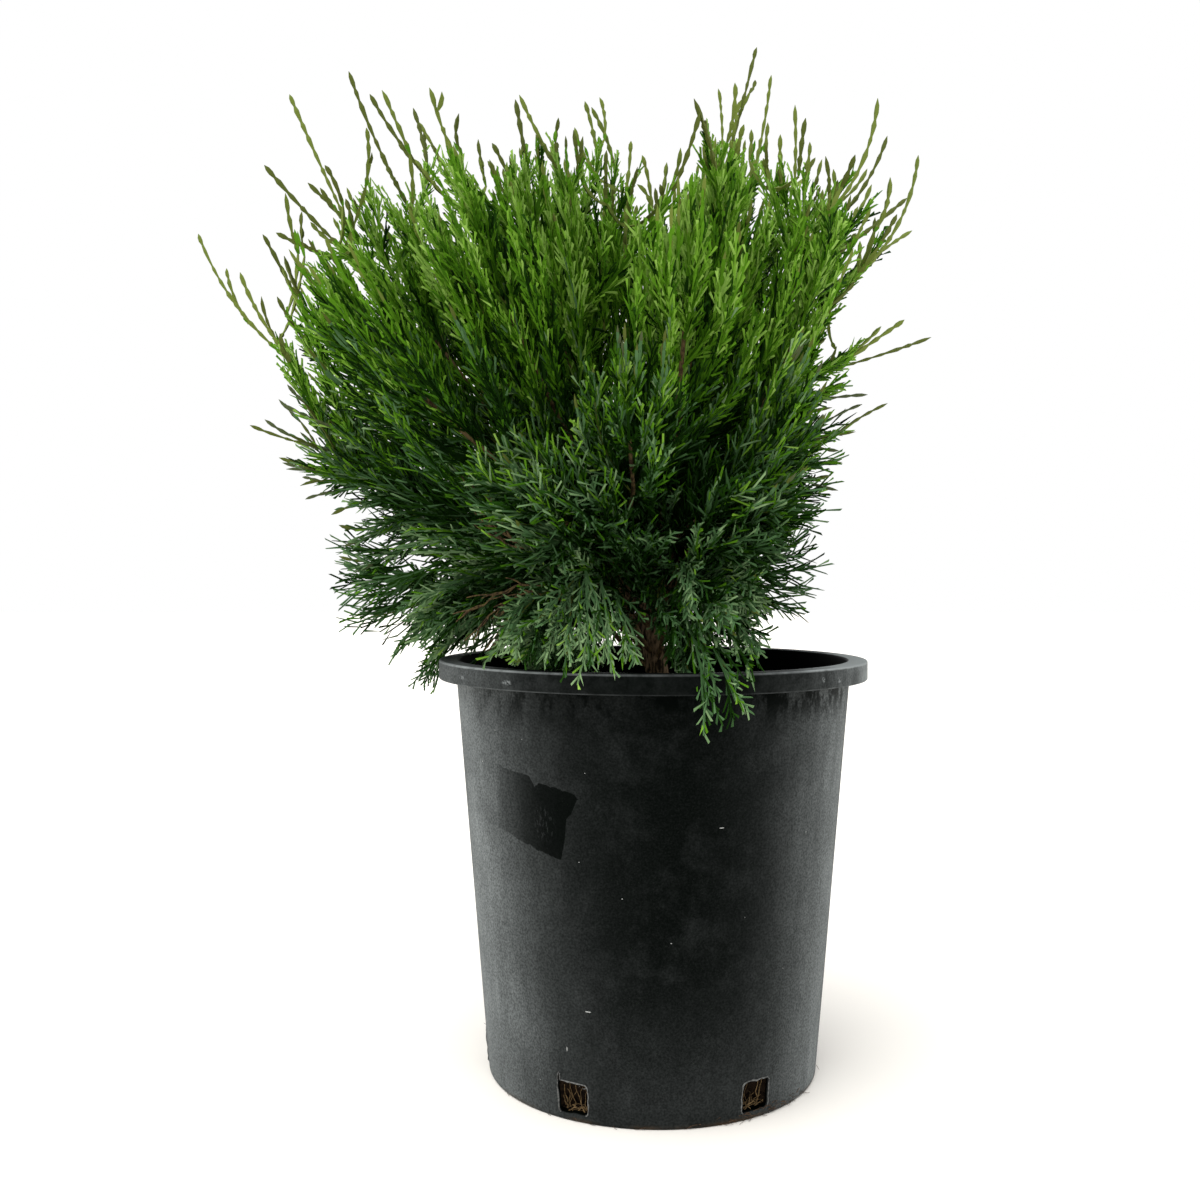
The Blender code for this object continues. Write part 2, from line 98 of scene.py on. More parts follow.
Tier = namedtuple(
    "Tier", "name count turn rise root_rise left right front bare radius low high"
)
TIERS = (
    Tier("upper", 7, 174, 56, 40, 0.344, 0.276, 0.256, 0.070, 0.0027, 0.58, 0.82),
    Tier("crown", 4, 38, 73, 64, 0.284, 0.338, 0.248, 0.065, 0.0019, 0.88, 0.88),
    Tier("shoulder", 7, 214, 37, 22, 0.354, 0.186, 0.200, 0.065, 0.0020, 0.0, 0.0),
    Tier("middle", 6, 178, 18, 4, 0.232, 0.114, 0.148, 0.0, STEM_RADIUS, 0.37, 0.50),
    Tier("hanging", 7, 186, -21, -5, 0.176, 0.094, 0.144, 0.0, STEM_RADIUS, 0.20, 0.34),
)
SIDE_TIER = "shoulder"
CARRIER_TIER = "upper"
SIDE_SEAT = 0.45
BOUGH_END = 0.060

Plume = namedtuple("Plume", "name tier turn twist rise reach first start")

# How each tier carries its foliage. opening: degrees between a shoot and its stem. bend: how
# far a shoot turns to run along the stem. lift: pull of its far end, up or down. crowd: shoots
# per metre against the common number. long, short: length of the shoots at the stem's foot and
# tip, as shares of the stem. mass: least and most share of the reach that shoots fill. pointed:
# how fast the reach falls off beside the stem. fan, scatter: degrees between a twiglet and its
# shoot, and its play out of one plane. twiglet: longest twiglet. fine: branchlets on a
# twiglet. spread: degrees between a branchlet and its twiglet. dash: shortest and longest
# branchlet. slim: thickness against the common one. tone: place in its row of greens. play: how
# far branchlets stand out of the plane of their fan. fresh: share of shoots that are young and
# pale. leads: share that end in a tip.
Habit = namedtuple(
    "Habit",
    "opening bend lift crowd long short mass pointed fan scatter twiglet fine spread dash slim tone play"
    " fresh leads",
)
HABITS = {
    "upper": Habit(36, 0.48, 0.28, 0.95, 0.66, 0.20, (0.72, 0.92), 2.2, 18, 45, 0.024, 6, 17,
                   (0.0050, 0.0094), 1.0, 3.25, 0.7, 0.04, 0.55),
    "crown": Habit(34, 0.48, 0.20, 1.0, 0.66, 0.20, (0.74, 0.94), 2.0, 18, 45, 0.024, 6, 17,
                   (0.0050, 0.0094), 1.0, 3.35, 0.7, 0.04, 0.55),
    "shoulder": Habit(38, 0.46, 0.28, 1.1, 0.66, 0.22, (0.72, 0.92), 2.4, 18, 34, 0.029, 5, 16,
                      (0.0054, 0.0102), 0.90, 2.85, 0.45, 0.05, 0.40),
    "middle": Habit(42, 0.48, 0.02, 1.45, 0.70, 0.26, (0.82, 0.99), 2.2, 23, 24, 0.038, 4, 23,
                    (0.0085, 0.0165), 0.84, 3.15, 0.30, 0.06, 0.25),
    "hanging": Habit(44, 0.48, -0.42, 1.6, 0.74, 0.28, (0.82, 0.99), 1.8, 23, 24, 0.032, 6, 28,
                     (0.0046, 0.0092), 0.88, 3.5, 0.35, 0.08, 0.20),
}

# The crown's outline seen from the front: how far its mass goes from the heart, by degrees
# from +X towards +Z. The place it was measured from is in front of the plant.
VIEW = np.array((-0.0307, -0.751, 0.291))
OUTLINE = np.array((
    (-90, 0.078), (-75, 0.094), (-60, 0.084), (-40, 0.074), (-20, 0.080), (-10, 0.081), (0, 0.082),
    (10, 0.087), (20, 0.090), (30, 0.109), (40, 0.128), (50, 0.152), (56, 0.200), (60, 0.231),
    (70, 0.229), (76, 0.236), (80, 0.225), (86, 0.205), (90, 0.192), (93, 0.206), (97, 0.230),
    (110, 0.240), (120, 0.262), (130, 0.261), (140, 0.255), (150, 0.231), (160, 0.211), (170, 0.174),
    (180, 0.152), (190, 0.141), (200, 0.141), (210, 0.135), (225, 0.115), (240, 0.090), (270, 0.078),
))
ROUGH_EDGE = (0.76, 1.03)

# Young tips that stand out of the mass: the foot and the tip of each
LEADERS = (
    (-0.219, 0.025, 0.419, -0.253, 0.028, 0.454, -0.276, 0.030, 0.497),
    (-0.246, 0.029, 0.443, -0.255, 0.032, 0.460, -0.260, 0.034, 0.477),
    (-0.216, 0.008, 0.419, -0.233, 0.009, 0.443, -0.245, 0.010, 0.469),
    (-0.220, 0.013, 0.422, -0.229, 0.015, 0.438, -0.234, 0.016, 0.456),
    (-0.213, 0.000, 0.414, -0.217, 0.000, 0.423, -0.219, 0.000, 0.431),
    (-0.194, -0.050, 0.433, -0.203, -0.056, 0.453, -0.213, -0.060, 0.473),
    (-0.197, -0.025, 0.422, -0.206, -0.028, 0.433, -0.213, -0.030, 0.446),
    (-0.192, -0.059, 0.438, -0.196, -0.066, 0.448, -0.199, -0.070, 0.459),
    (-0.178, -0.008, 0.476, -0.202, -0.009, 0.500, -0.225, -0.010, 0.526),
    (-0.202, -0.025, 0.471, -0.206, -0.028, 0.487, -0.208, -0.030, 0.504),
    (-0.206, 0.008, 0.478, -0.208, 0.009, 0.492, -0.208, 0.010, 0.505),
    (-0.193, 0.017, 0.480, -0.210, 0.019, 0.487, -0.226, 0.020, 0.495),
    (-0.178, 0.008, 0.492, -0.197, 0.009, 0.533, -0.215, 0.010, 0.574),
    (-0.180, -0.008, 0.503, -0.184, -0.009, 0.515, -0.190, -0.010, 0.526),
    (-0.185, 0.025, 0.503, -0.197, 0.028, 0.516, -0.209, 0.030, 0.528),
    (-0.187, 0.000, 0.504, -0.191, 0.000, 0.510, -0.195, 0.000, 0.516),
    (-0.169, -0.034, 0.483, -0.170, -0.038, 0.491, -0.172, -0.040, 0.498),
    (-0.138, -0.025, 0.495, -0.157, -0.028, 0.533, -0.172, -0.030, 0.572),
    (-0.165, -0.017, 0.512, -0.163, -0.019, 0.528, -0.164, -0.020, 0.544),
    (-0.112, -0.017, 0.498, -0.140, -0.019, 0.529, -0.162, -0.020, 0.563),
    (-0.136, -0.042, 0.522, -0.143, -0.047, 0.538, -0.150, -0.050, 0.554),
    (-0.136, 0.034, 0.536, -0.140, 0.038, 0.557, -0.146, 0.040, 0.577),
    (-0.120, 0.050, 0.528, -0.132, 0.056, 0.552, -0.145, 0.060, 0.575),
    (-0.103, -0.067, 0.501, -0.113, -0.075, 0.522, -0.120, -0.080, 0.544),
    (-0.116, -0.078, 0.533, -0.114, -0.079, 0.538, -0.1135, -0.080, 0.542),
    (-0.108, -0.034, 0.524, -0.111, -0.038, 0.534, -0.109, -0.040, 0.545),
    (-0.099, 0.017, 0.522, -0.102, 0.019, 0.537, -0.104, 0.020, 0.551),
    (-0.077, 0.000, 0.501, -0.084, 0.000, 0.522, -0.094, 0.000, 0.542),
    (-0.087, -0.025, 0.509, -0.090, -0.028, 0.516, -0.094, -0.030, 0.522),
    (-0.071, -0.042, 0.515, -0.074, -0.047, 0.532, -0.077, -0.050, 0.549),
    (-0.054, 0.000, 0.525, -0.067, 0.000, 0.547, -0.078, 0.000, 0.570),
    (-0.058, 0.050, 0.542, -0.059, 0.056, 0.560, -0.057, 0.060, 0.578),
    (-0.043, -0.050, 0.507, -0.043, -0.056, 0.518, -0.045, -0.060, 0.529),
    (-0.032, 0.034, 0.543, -0.035, 0.038, 0.562, -0.040, 0.040, 0.581),
    (-0.021, 0.042, 0.536, -0.026, 0.047, 0.559, -0.036, 0.050, 0.581),
    (-0.028, 0.042, 0.558, -0.028, 0.047, 0.573, -0.031, 0.050, 0.587),
    (-0.015, 0.017, 0.518, -0.013, 0.019, 0.534, -0.012, 0.020, 0.550),
    (-0.015, -0.008, 0.491, -0.013, -0.009, 0.508, -0.009, -0.010, 0.525),
    (0.000, 0.000, 0.488, -0.001, 0.000, 0.512, -0.006, 0.000, 0.535),
    (-0.001, 0.000, 0.506, -0.004, 0.000, 0.513, -0.009, 0.000, 0.518),
    (0.000, 0.008, 0.489, 0.006, 0.009, 0.511, 0.009, 0.010, 0.534),
    (0.002, 0.008, 0.504, 0.003, 0.009, 0.512, 0.002, 0.010, 0.519),
    (0.002, -0.025, 0.497, 0.004, -0.028, 0.503, 0.003, -0.030, 0.509),
    (-0.010, 0.059, 0.501, -0.009, 0.066, 0.514, -0.007, 0.070, 0.526),
    (0.031, -0.084, 0.494, 0.025, -0.094, 0.512, 0.017, -0.100, 0.531),
    (0.004, -0.084, 0.482, 0.013, -0.094, 0.502, 0.020, -0.100, 0.524),
    (0.025, -0.080, 0.519, 0.024, -0.089, 0.520, 0.023, -0.095, 0.522),
    (0.008, -0.034, 0.504, 0.012, -0.038, 0.514, 0.014, -0.040, 0.526),
    (0.046, 0.059, 0.545, 0.047, 0.066, 0.573, 0.045, 0.070, 0.600),
    (0.037, -0.042, 0.521, 0.042, -0.047, 0.539, 0.043, -0.050, 0.558),
    (0.042, 0.034, 0.519, 0.054, 0.038, 0.566, 0.066, 0.040, 0.614),
    (0.061, 0.034, 0.584, 0.064, 0.038, 0.589, 0.065, 0.040, 0.594),
    (0.052, 0.029, 0.565, 0.053, 0.033, 0.573, 0.056, 0.035, 0.580),
    (0.043, -0.050, 0.517, 0.045, -0.056, 0.525, 0.047, -0.060, 0.532),
    (0.062, 0.034, 0.530, 0.070, 0.038, 0.563, 0.075, 0.040, 0.597),
    (0.067, -0.017, 0.510, 0.064, -0.019, 0.528, 0.065, -0.020, 0.547),
    (0.057, 0.000, 0.532, 0.058, 0.000, 0.541, 0.058, 0.000, 0.550),
    (0.077, 0.000, 0.515, 0.075, 0.000, 0.531, 0.075, 0.000, 0.547),
    (0.077, -0.042, 0.502, 0.077, -0.047, 0.524, 0.076, -0.050, 0.546),
    (0.082, -0.025, 0.515, 0.083, -0.028, 0.530, 0.085, -0.030, 0.546),
    (0.086, -0.017, 0.510, 0.088, -0.019, 0.523, 0.089, -0.020, 0.536),
    (0.093, 0.017, 0.527, 0.096, 0.019, 0.534, 0.099, 0.020, 0.540),
    (0.091, 0.017, 0.504, 0.098, 0.019, 0.521, 0.103, 0.020, 0.539),
    (0.094, -0.050, 0.486, 0.094, -0.056, 0.500, 0.091, -0.060, 0.515),
    (0.107, 0.008, 0.505, 0.109, 0.009, 0.518, 0.108, 0.010, 0.530),
    (0.097, 0.000, 0.498, 0.099, 0.000, 0.507, 0.100, 0.000, 0.515),
    (0.030, -0.034, 0.515, 0.028, -0.038, 0.522, 0.027, -0.040, 0.530),
    (0.039, 0.008, 0.531, 0.038, 0.009, 0.540, 0.038, 0.010, 0.549),
    (0.030, 0.025, 0.508, 0.028, 0.028, 0.517, 0.025, 0.030, 0.526),
    (0.095, -0.050, 0.487, 0.112, -0.056, 0.514, 0.119, -0.060, 0.546),
    (0.103, -0.042, 0.504, 0.106, -0.047, 0.511, 0.109, -0.050, 0.519),
    (0.103, -0.025, 0.489, 0.120, -0.028, 0.511, 0.131, -0.030, 0.536),
    (0.114, -0.008, 0.510, 0.120, -0.009, 0.517, 0.124, -0.010, 0.524),
    (0.115, 0.017, 0.495, 0.126, 0.019, 0.509, 0.133, 0.020, 0.524),
    (0.111, -0.034, 0.473, 0.115, -0.038, 0.483, 0.120, -0.040, 0.493),
    (0.116, 0.000, 0.460, 0.144, 0.000, 0.494, 0.156, 0.000, 0.535),
    (0.105, 0.008, 0.475, 0.129, 0.009, 0.494, 0.152, 0.010, 0.513),
    (0.127, -0.017, 0.486, 0.133, -0.019, 0.500, 0.135, -0.020, 0.516),
    (0.129, -0.017, 0.477, 0.134, -0.019, 0.486, 0.139, -0.020, 0.495),
    (0.126, 0.013, 0.472, 0.132, 0.014, 0.487, 0.134, 0.015, 0.503),
    (0.122, 0.025, 0.470, 0.141, 0.028, 0.486, 0.160, 0.030, 0.499),
    (0.121, 0.000, 0.470, 0.122, 0.000, 0.477, 0.122, 0.000, 0.485),
    (0.106, -0.017, 0.408, 0.133, -0.019, 0.416, 0.159, -0.020, 0.425),
    (0.108, -0.029, 0.410, 0.124, -0.033, 0.421, 0.140, -0.035, 0.432),
    (0.118, 0.008, 0.420, 0.128, 0.009, 0.428, 0.137, 0.010, 0.437),
    (0.101, -0.017, 0.410, 0.103, -0.019, 0.415, 0.105, -0.020, 0.420),
    (0.092, 0.017, 0.423, 0.099, 0.019, 0.427, 0.106, 0.020, 0.432),
    (0.093, -0.025, 0.391, 0.100, -0.028, 0.395, 0.108, -0.030, 0.398),
    (0.100, 0.000, 0.392, 0.113, 0.000, 0.394, 0.127, 0.000, 0.395),
    (0.100, -0.025, 0.366, 0.115, -0.028, 0.377, 0.132, -0.030, 0.386),
    (0.104, 0.017, 0.380, 0.116, 0.019, 0.387, 0.128, 0.020, 0.392),
    (0.091, -0.017, 0.366, 0.103, -0.019, 0.369, 0.116, -0.020, 0.371),
    (0.082, -0.042, 0.378, 0.089, -0.047, 0.380, 0.097, -0.050, 0.381),
    (0.093, 0.008, 0.366, 0.103, 0.009, 0.364, 0.112, 0.010, 0.363),
    (0.084, 0.000, 0.348, 0.098, 0.000, 0.354, 0.112, 0.000, 0.357),
    (0.097, 0.017, 0.356, 0.107, 0.019, 0.356, 0.116, 0.020, 0.357),
    (0.090, -0.017, 0.344, 0.096, -0.019, 0.345, 0.102, -0.020, 0.346),
    (0.093, -0.008, 0.342, 0.100, -0.009, 0.340, 0.108, -0.010, 0.338),
    (0.081, -0.034, 0.328, 0.087, -0.038, 0.327, 0.093, -0.040, 0.326),
    (0.102, -0.017, 0.444, 0.109, -0.019, 0.450, 0.115, -0.020, 0.457),
    (-0.187, 0.000, 0.362, -0.212, 0.000, 0.368, -0.237, 0.000, 0.377),
    (-0.209, -0.017, 0.369, -0.216, -0.019, 0.373, -0.223, -0.020, 0.378),
    (-0.211, 0.017, 0.381, -0.218, 0.019, 0.388, -0.225, 0.020, 0.395),
    (-0.178, -0.042, 0.371, -0.192, -0.047, 0.376, -0.205, -0.050, 0.383),
    (-0.201, -0.017, 0.388, -0.206, -0.019, 0.393, -0.210, -0.020, 0.398),
    (-0.202, 0.000, 0.352, -0.211, 0.000, 0.355, -0.220, 0.000, 0.358),
    (-0.190, -0.034, 0.347, -0.198, -0.038, 0.348, -0.206, -0.040, 0.348),
    (-0.181, 0.000, 0.344, -0.200, 0.000, 0.350, -0.218, 0.000, 0.355),
    (-0.198, 0.017, 0.345, -0.205, 0.019, 0.347, -0.211, 0.020, 0.348),
    (-0.193, -0.017, 0.343, -0.198, -0.019, 0.342, -0.203, -0.020, 0.340),
    (-0.186, 0.008, 0.339, -0.197, 0.009, 0.337, -0.207, 0.010, 0.334),
    (-0.167, -0.025, 0.330, -0.175, -0.028, 0.327, -0.183, -0.030, 0.323),
    (-0.174, 0.017, 0.316, -0.182, 0.019, 0.317, -0.189, 0.020, 0.319),
    (-0.168, -0.017, 0.309, -0.174, -0.019, 0.307, -0.179, -0.020, 0.305),
    (-0.172, 0.008, 0.297, -0.180, 0.009, 0.298, -0.187, 0.010, 0.300),
    (-0.160, -0.025, 0.295, -0.165, -0.028, 0.293, -0.170, -0.030, 0.290),
    (-0.162, 0.000, 0.288, -0.168, 0.000, 0.288, -0.174, 0.000, 0.287),
    (-0.027, -0.025, 0.499, -0.027, -0.028, 0.513, -0.027, -0.030, 0.528),
    (-0.023, 0.025, 0.486, -0.023, 0.028, 0.507, -0.023, 0.030, 0.527),
    (-0.017, -0.017, 0.467, -0.016, -0.019, 0.483, -0.016, -0.020, 0.500),
    (-0.040, -0.042, 0.505, -0.041, -0.047, 0.517, -0.040, -0.050, 0.529),
    (-0.031, 0.017, 0.526, -0.040, 0.019, 0.541, -0.046, 0.020, 0.558),
)

# Sprays that droop to the rim and over it: the foot and the tip of each, and its tone
DROOPING = (
    (0.013, -0.085, 0.270, 0.0245, -0.1517, 0.2136, 3.3),
    (0.018, -0.085, 0.266, 0.0398, -0.1504, 0.2173, 3.2),
    (0.030, -0.080, 0.270, 0.047, -0.131, 0.233, 3.6),
    (0.034, -0.075, 0.272, 0.052, -0.120, 0.243, 3.8),
    (0.032, -0.060, 0.280, 0.050, -0.104, 0.256, 2.8),
    (0.008, -0.070, 0.276, 0.006, -0.120, 0.246, 2.2),
    (-0.038, -0.085, 0.292, -0.036, -0.131, 0.234, 4.6),
    (-0.030, -0.085, 0.286, -0.025, -0.131, 0.237, 4.8),
    (-0.044, -0.080, 0.284, -0.048, -0.130, 0.240, 4.2),
    (-0.022, -0.075, 0.280, -0.015, -0.129, 0.239, 3.8),
    (-0.058, -0.070, 0.276, -0.066, -0.122, 0.243, 2.4),
    (-0.090, 0.010, 0.272, -0.140, 0.016, 0.214, 2.6),
    (-0.094, 0.020, 0.276, -0.148, 0.024, 0.218, 2.7),
    (-0.090, 0.000, 0.274, -0.144, 0.004, 0.222, 2.4),
    (-0.098, -0.012, 0.280, -0.158, -0.006, 0.238, 2.6),
    (-0.100, 0.010, 0.284, -0.160, 0.016, 0.246, 2.7),
)
DROOP_SHARE = 0.78
FILL_SHARE = 0.92

# Sprays that fill the outline where the photograph shows it full: foot, tip and tone
FILLING = (
    (-0.014, 0.020, 0.376, -0.023, 0.040, 0.459, 2.6),
    (-0.010, 0.040, 0.397, -0.017, 0.070, 0.477, 2.5),
    (-0.008, -0.020, 0.401, -0.021, -0.020, 0.473, 2.8),
    (-0.007, -0.030, 0.427, -0.027, -0.050, 0.479, 2.8),
    (-0.007, 0.020, 0.455, -0.015, 0.040, 0.520, 2.9),
    (-0.028, -0.040, 0.425, -0.032, -0.060, 0.483, 3.0),
    (0.000, 0.020, 0.419, 0.001, 0.020, 0.485, 2.8),
    (0.049, 0.000, 0.295, 0.087, 0.000, 0.309, 2.4),
    (0.049, -0.030, 0.292, 0.086, -0.040, 0.293, 2.5),
    (0.052, 0.030, 0.289, 0.096, 0.040, 0.279, 2.4),
    (0.044, -0.020, 0.286, 0.080, -0.020, 0.270, 2.4),
    (0.056, 0.050, 0.298, 0.101, 0.060, 0.303, 2.2),
    (0.060, -0.030, 0.388, 0.105, -0.030, 0.397, 2.8),
    (0.064, 0.030, 0.378, 0.115, 0.030, 0.377, 2.6),
    (0.054, -0.030, 0.354, 0.099, -0.030, 0.353, 2.5),
    (0.057, 0.020, 0.340, 0.105, 0.030, 0.341, 2.5),
    (0.050, -0.030, 0.323, 0.089, -0.040, 0.322, 2.4),
    (0.082, -0.030, 0.465, 0.123, -0.030, 0.498, 3.0),
    (0.104, 0.030, 0.457, 0.143, 0.030, 0.494, 2.9),
    (0.093, 0.040, 0.496, 0.126, 0.050, 0.537, 3.0),
    (-0.140, -0.020, 0.295, -0.173, -0.020, 0.294, 2.4),
    (-0.140, 0.020, 0.280, -0.167, 0.020, 0.266, 2.2),
    (-0.134, 0.020, 0.305, -0.185, 0.020, 0.306, 2.4),
    (-0.121, -0.030, 0.297, -0.166, -0.040, 0.286, 2.4),
    (-0.131, 0.000, 0.289, -0.169, 0.000, 0.275, 2.3),
    (-0.001, 0.050, 0.373, -0.006, 0.050, 0.461, 2.7),
    (-0.004, 0.000, 0.392, -0.010, 0.000, 0.473, 2.8),
    (-0.001, -0.030, 0.399, -0.005, -0.030, 0.478, 2.9),
    (-0.080, 0.040, 0.385, -0.122, 0.050, 0.469, 2.7),
    (-0.066, -0.010, 0.373, -0.098, -0.020, 0.446, 2.7),
    (-0.155, -0.030, 0.399, -0.190, -0.030, 0.444, 2.8),
    (-0.153, 0.030, 0.402, -0.187, 0.030, 0.457, 2.7),
    (0.036, 0.070, 0.396, 0.078, 0.140, 0.492, 2.9),
    (0.013, 0.063, 0.420, 0.030, 0.124, 0.536, 2.9),
    (0.030, 0.072, 0.420, 0.056, 0.140, 0.522, 2.9),
    (0.049, 0.063, 0.356, 0.100, 0.128, 0.416, 2.8),
    (0.027, 0.070, 0.337, 0.062, 0.162, 0.382, 2.7),
    (0.020, 0.076, 0.372, 0.040, 0.166, 0.446, 2.8),
    (-0.056, 0.067, 0.384, -0.113, 0.139, 0.476, 2.8),
    (-0.015, 0.055, 0.330, -0.027, 0.140, 0.400, 2.7),
    (-0.012, 0.055, 0.300, -0.022, 0.144, 0.342, 2.5),
    (-0.010, 0.055, 0.360, -0.024, 0.126, 0.450, 2.8),
    (-0.020, 0.060, 0.385, -0.042, 0.112, 0.480, 2.9),
    (-0.080, 0.055, 0.360, -0.140, 0.104, 0.430, 2.7),
    (-0.108, 0.000, 0.290, -0.172, 0.004, 0.262, 2.6),
    (-0.110, -0.020, 0.300, -0.176, -0.020, 0.280, 2.6),
)

# Bare brown twigs low in the crown: foot and tip
BARE_TWIGS = (
    (-0.078, -0.066, 0.304, -0.100, -0.080, 0.341),
    (-0.074, -0.066, 0.306, -0.089, -0.082, 0.338),
    (-0.072, -0.060, 0.279, -0.103, -0.072, 0.254),
    (-0.068, -0.062, 0.276, -0.092, -0.078, 0.249),
    (-0.074, -0.058, 0.282, -0.108, -0.068, 0.264),
)
BARE_TWIG_RADIUS = 0.00062

# A slit torn upwards from a corner of some drain holes: across and up from the corner
TORN_SLIT = ((0.0002, 0.0010), (0.0000, 0.0032), (-0.0004, 0.0046), (-0.0010, 0.0030), (-0.0014, 0.0008))

# Smudges rubbed on the rim's band: turn in degrees, height, half width and half height
SMUDGES = ((231.0, 0.2336, 0.0042, 0.0016), (212.7, 0.2337, 0.0030, 0.0013), (320.1, 0.2335, 0.0022, 0.0018),
           (313.2, 0.2344, 0.0017, 0.0019))

# Edges of the bare patch that a peeled label left: shares of its width and of its length
PATCH_UPPER = ((0.0, 0.98), (0.50, 0.90), (0.555, 0.78), (0.60, 0.84), (0.92, 0.76), (0.98, 0.70), (1.0, 0.68))
PATCH_LOWER = (
    (0.0, 0.26), (0.16, 0.24), (0.53, 0.11), (0.80, 0.02), (0.845, 0.27), (0.865, 0.47), (0.91, 0.53),
    (0.97, 0.68), (1.0, 0.70),
)

POINTS_TO_A_PIECE = 32000
DASHES_TO_A_PIECE = 44000

# The greens from the shade inside to the lit tips: yellower in the crown, greyer in the fans
ROWS = {
    "high": ("shade_green", "deep_green", "mid_green", "leaf_green", "bright_green", "fresh_green"),
    "low": ("shade_green", "deep_green", "blue_green", "slate_green", "sage_green", "pale_green"),
}
GREENS = tuple(dict.fromkeys(ROWS["high"] + ROWS["low"]))
GREY_BELOW = 0.430
GREY_OVER = 0.150
DARK_GREENS = ("shade_green", "deep_green", "blue_green", "slate_green")
LEADER_GREENS = {"high": ("young_olive", "leader_olive"), "low": ("leader_olive", "dull_olive")}
LEADER_FEET = {"high": "leaf_green", "low": "slate_green"}
OLIVES = ("young_olive", "leader_olive", "dull_olive")
STRIPED = 0.12


def heading(turn, rise):
    turn, rise = np.radians(turn), np.radians(rise)
    level = np.cos(rise)
    return np.stack((level * np.cos(turn), level * np.sin(turn), np.sin(rise)), axis=-1)


def smooth(share):
    share = np.clip(share, 0.0, 1.0)
    return share * share * (3.0 - 2.0 * share)


def unit(vectors):
    return vectors / np.maximum(np.linalg.norm(vectors, axis=-1, keepdims=True), 1e-12)


def trunk_point(share):
    lean = np.array((smooth(share), smooth(share), share))
    return TRUNK_FOOT + (HEART - TRUNK_FOOT) * lean


def trunk_radius(share):
    flare = ROOT_FLARE * math.exp(-share * (HEART[2] - TRUNK_FOOT[2]) / FLARE_HEIGHT)
    return TRUNK_RADIUS + (TRUNK_TIP_RADIUS - TRUNK_RADIUS) * share + flare


def reach_towards(tier, turn):
    turn = math.radians(turn)
    leftward = 0.5 - 0.5 * math.cos(turn)
    frontward = max(0.0, -math.sin(turn)) ** 2
    sideways = tier.right + (tier.left - tier.right) * leftward
    return sideways + (tier.front - sideways) * frontward


def make_plumes():
    rng = np.random.default_rng(SEED)
    plumes = {}
    for tier in TIERS:
        for index in range(tier.count):
            turn = tier.turn + 360.0 * index / tier.count + rng.uniform(-TURN_PLAY, TURN_PLAY)
            reach = reach_towards(tier, turn) * rng.uniform(LEAST_REACH, 1.0)
            rise = tier.rise + rng.uniform(-RISE_PLAY, RISE_PLAY)
            twist = rng.uniform(-TWIST_PLAY, TWIST_PLAY)
            if tier.name == SIDE_TIER:
                carrier = plumes[f"{CARRIER_TIER}_plume_{index + 1}"]
                first = SIDE_SEAT * carrier.tier.bare
                start = limb_line(carrier, np.array((first,)))[0]
            else:
                stagger = (index * SEAT_ORDER) % tier.count / (tier.count - 1)
                first = LIMB_ROOT
                start = trunk_point(tier.low + (tier.high - tier.low) * stagger)
            name = f"{tier.name}_plume_{index + 1}"
            plumes[name] = Plume(name, tier, turn, twist, rise, reach, first, start)
    return plumes


def axis_direction(plume, distance):
    inward = 1.0 - np.clip(distance / plume.reach, 0.0, 1.0)
    turn = plume.turn + plume.twist * inward
    rise = plume.rise + (plume.tier.root_rise - plume.tier.rise) * inward
    return heading(turn, rise)


def limb_line(plume, distance):
    axis = HEART + distance[:, None] * axis_direction(plume, distance)
    first = plume.first if plume.tier.name == SIDE_TIER else 0.0
    seat = HEART + first * axis_direction(plume, np.array(first))
    settle = LIMB_SETTLES * (plume.reach - first)
    offset = 1.0 - smooth((distance - first) / settle)
    return axis + (plume.start - seat) * offset[:, None]


def lines_at(points, shares):
    """Points and directions at shares of the way along a line of evenly spaced points."""
    place = np.clip(shares, 0.0, 1.0) * (len(points) - 1)
    low = np.minimum(place.astype(int), len(points) - 2)
    run = points[low + 1] - points[low]
    return points[low] + (place - low)[:, None] * run, unit(run)


def sides_of(directions, spins):
    """Unit vectors square to the directions, turned about them by the spins in degrees."""
    across = unit(np.cross(directions, UP + 1e-6))
    over = np.cross(across, directions)
    spins = np.radians(spins)[..., None]
    return np.cos(spins) * across + np.sin(spins) * over


def curved(base, out, ahead, lengths, bend, rings):
    """Lines that leave base along out and bend towards ahead: (..., rings, 3)."""
    along = np.linspace(0.0, 1.0, rings)[:, None]
    lean = bend * along * along * (ahead - out)[..., None, :]
    return base[..., None, :] + lengths[..., None, None] * (along * out[..., None, :] + lean)


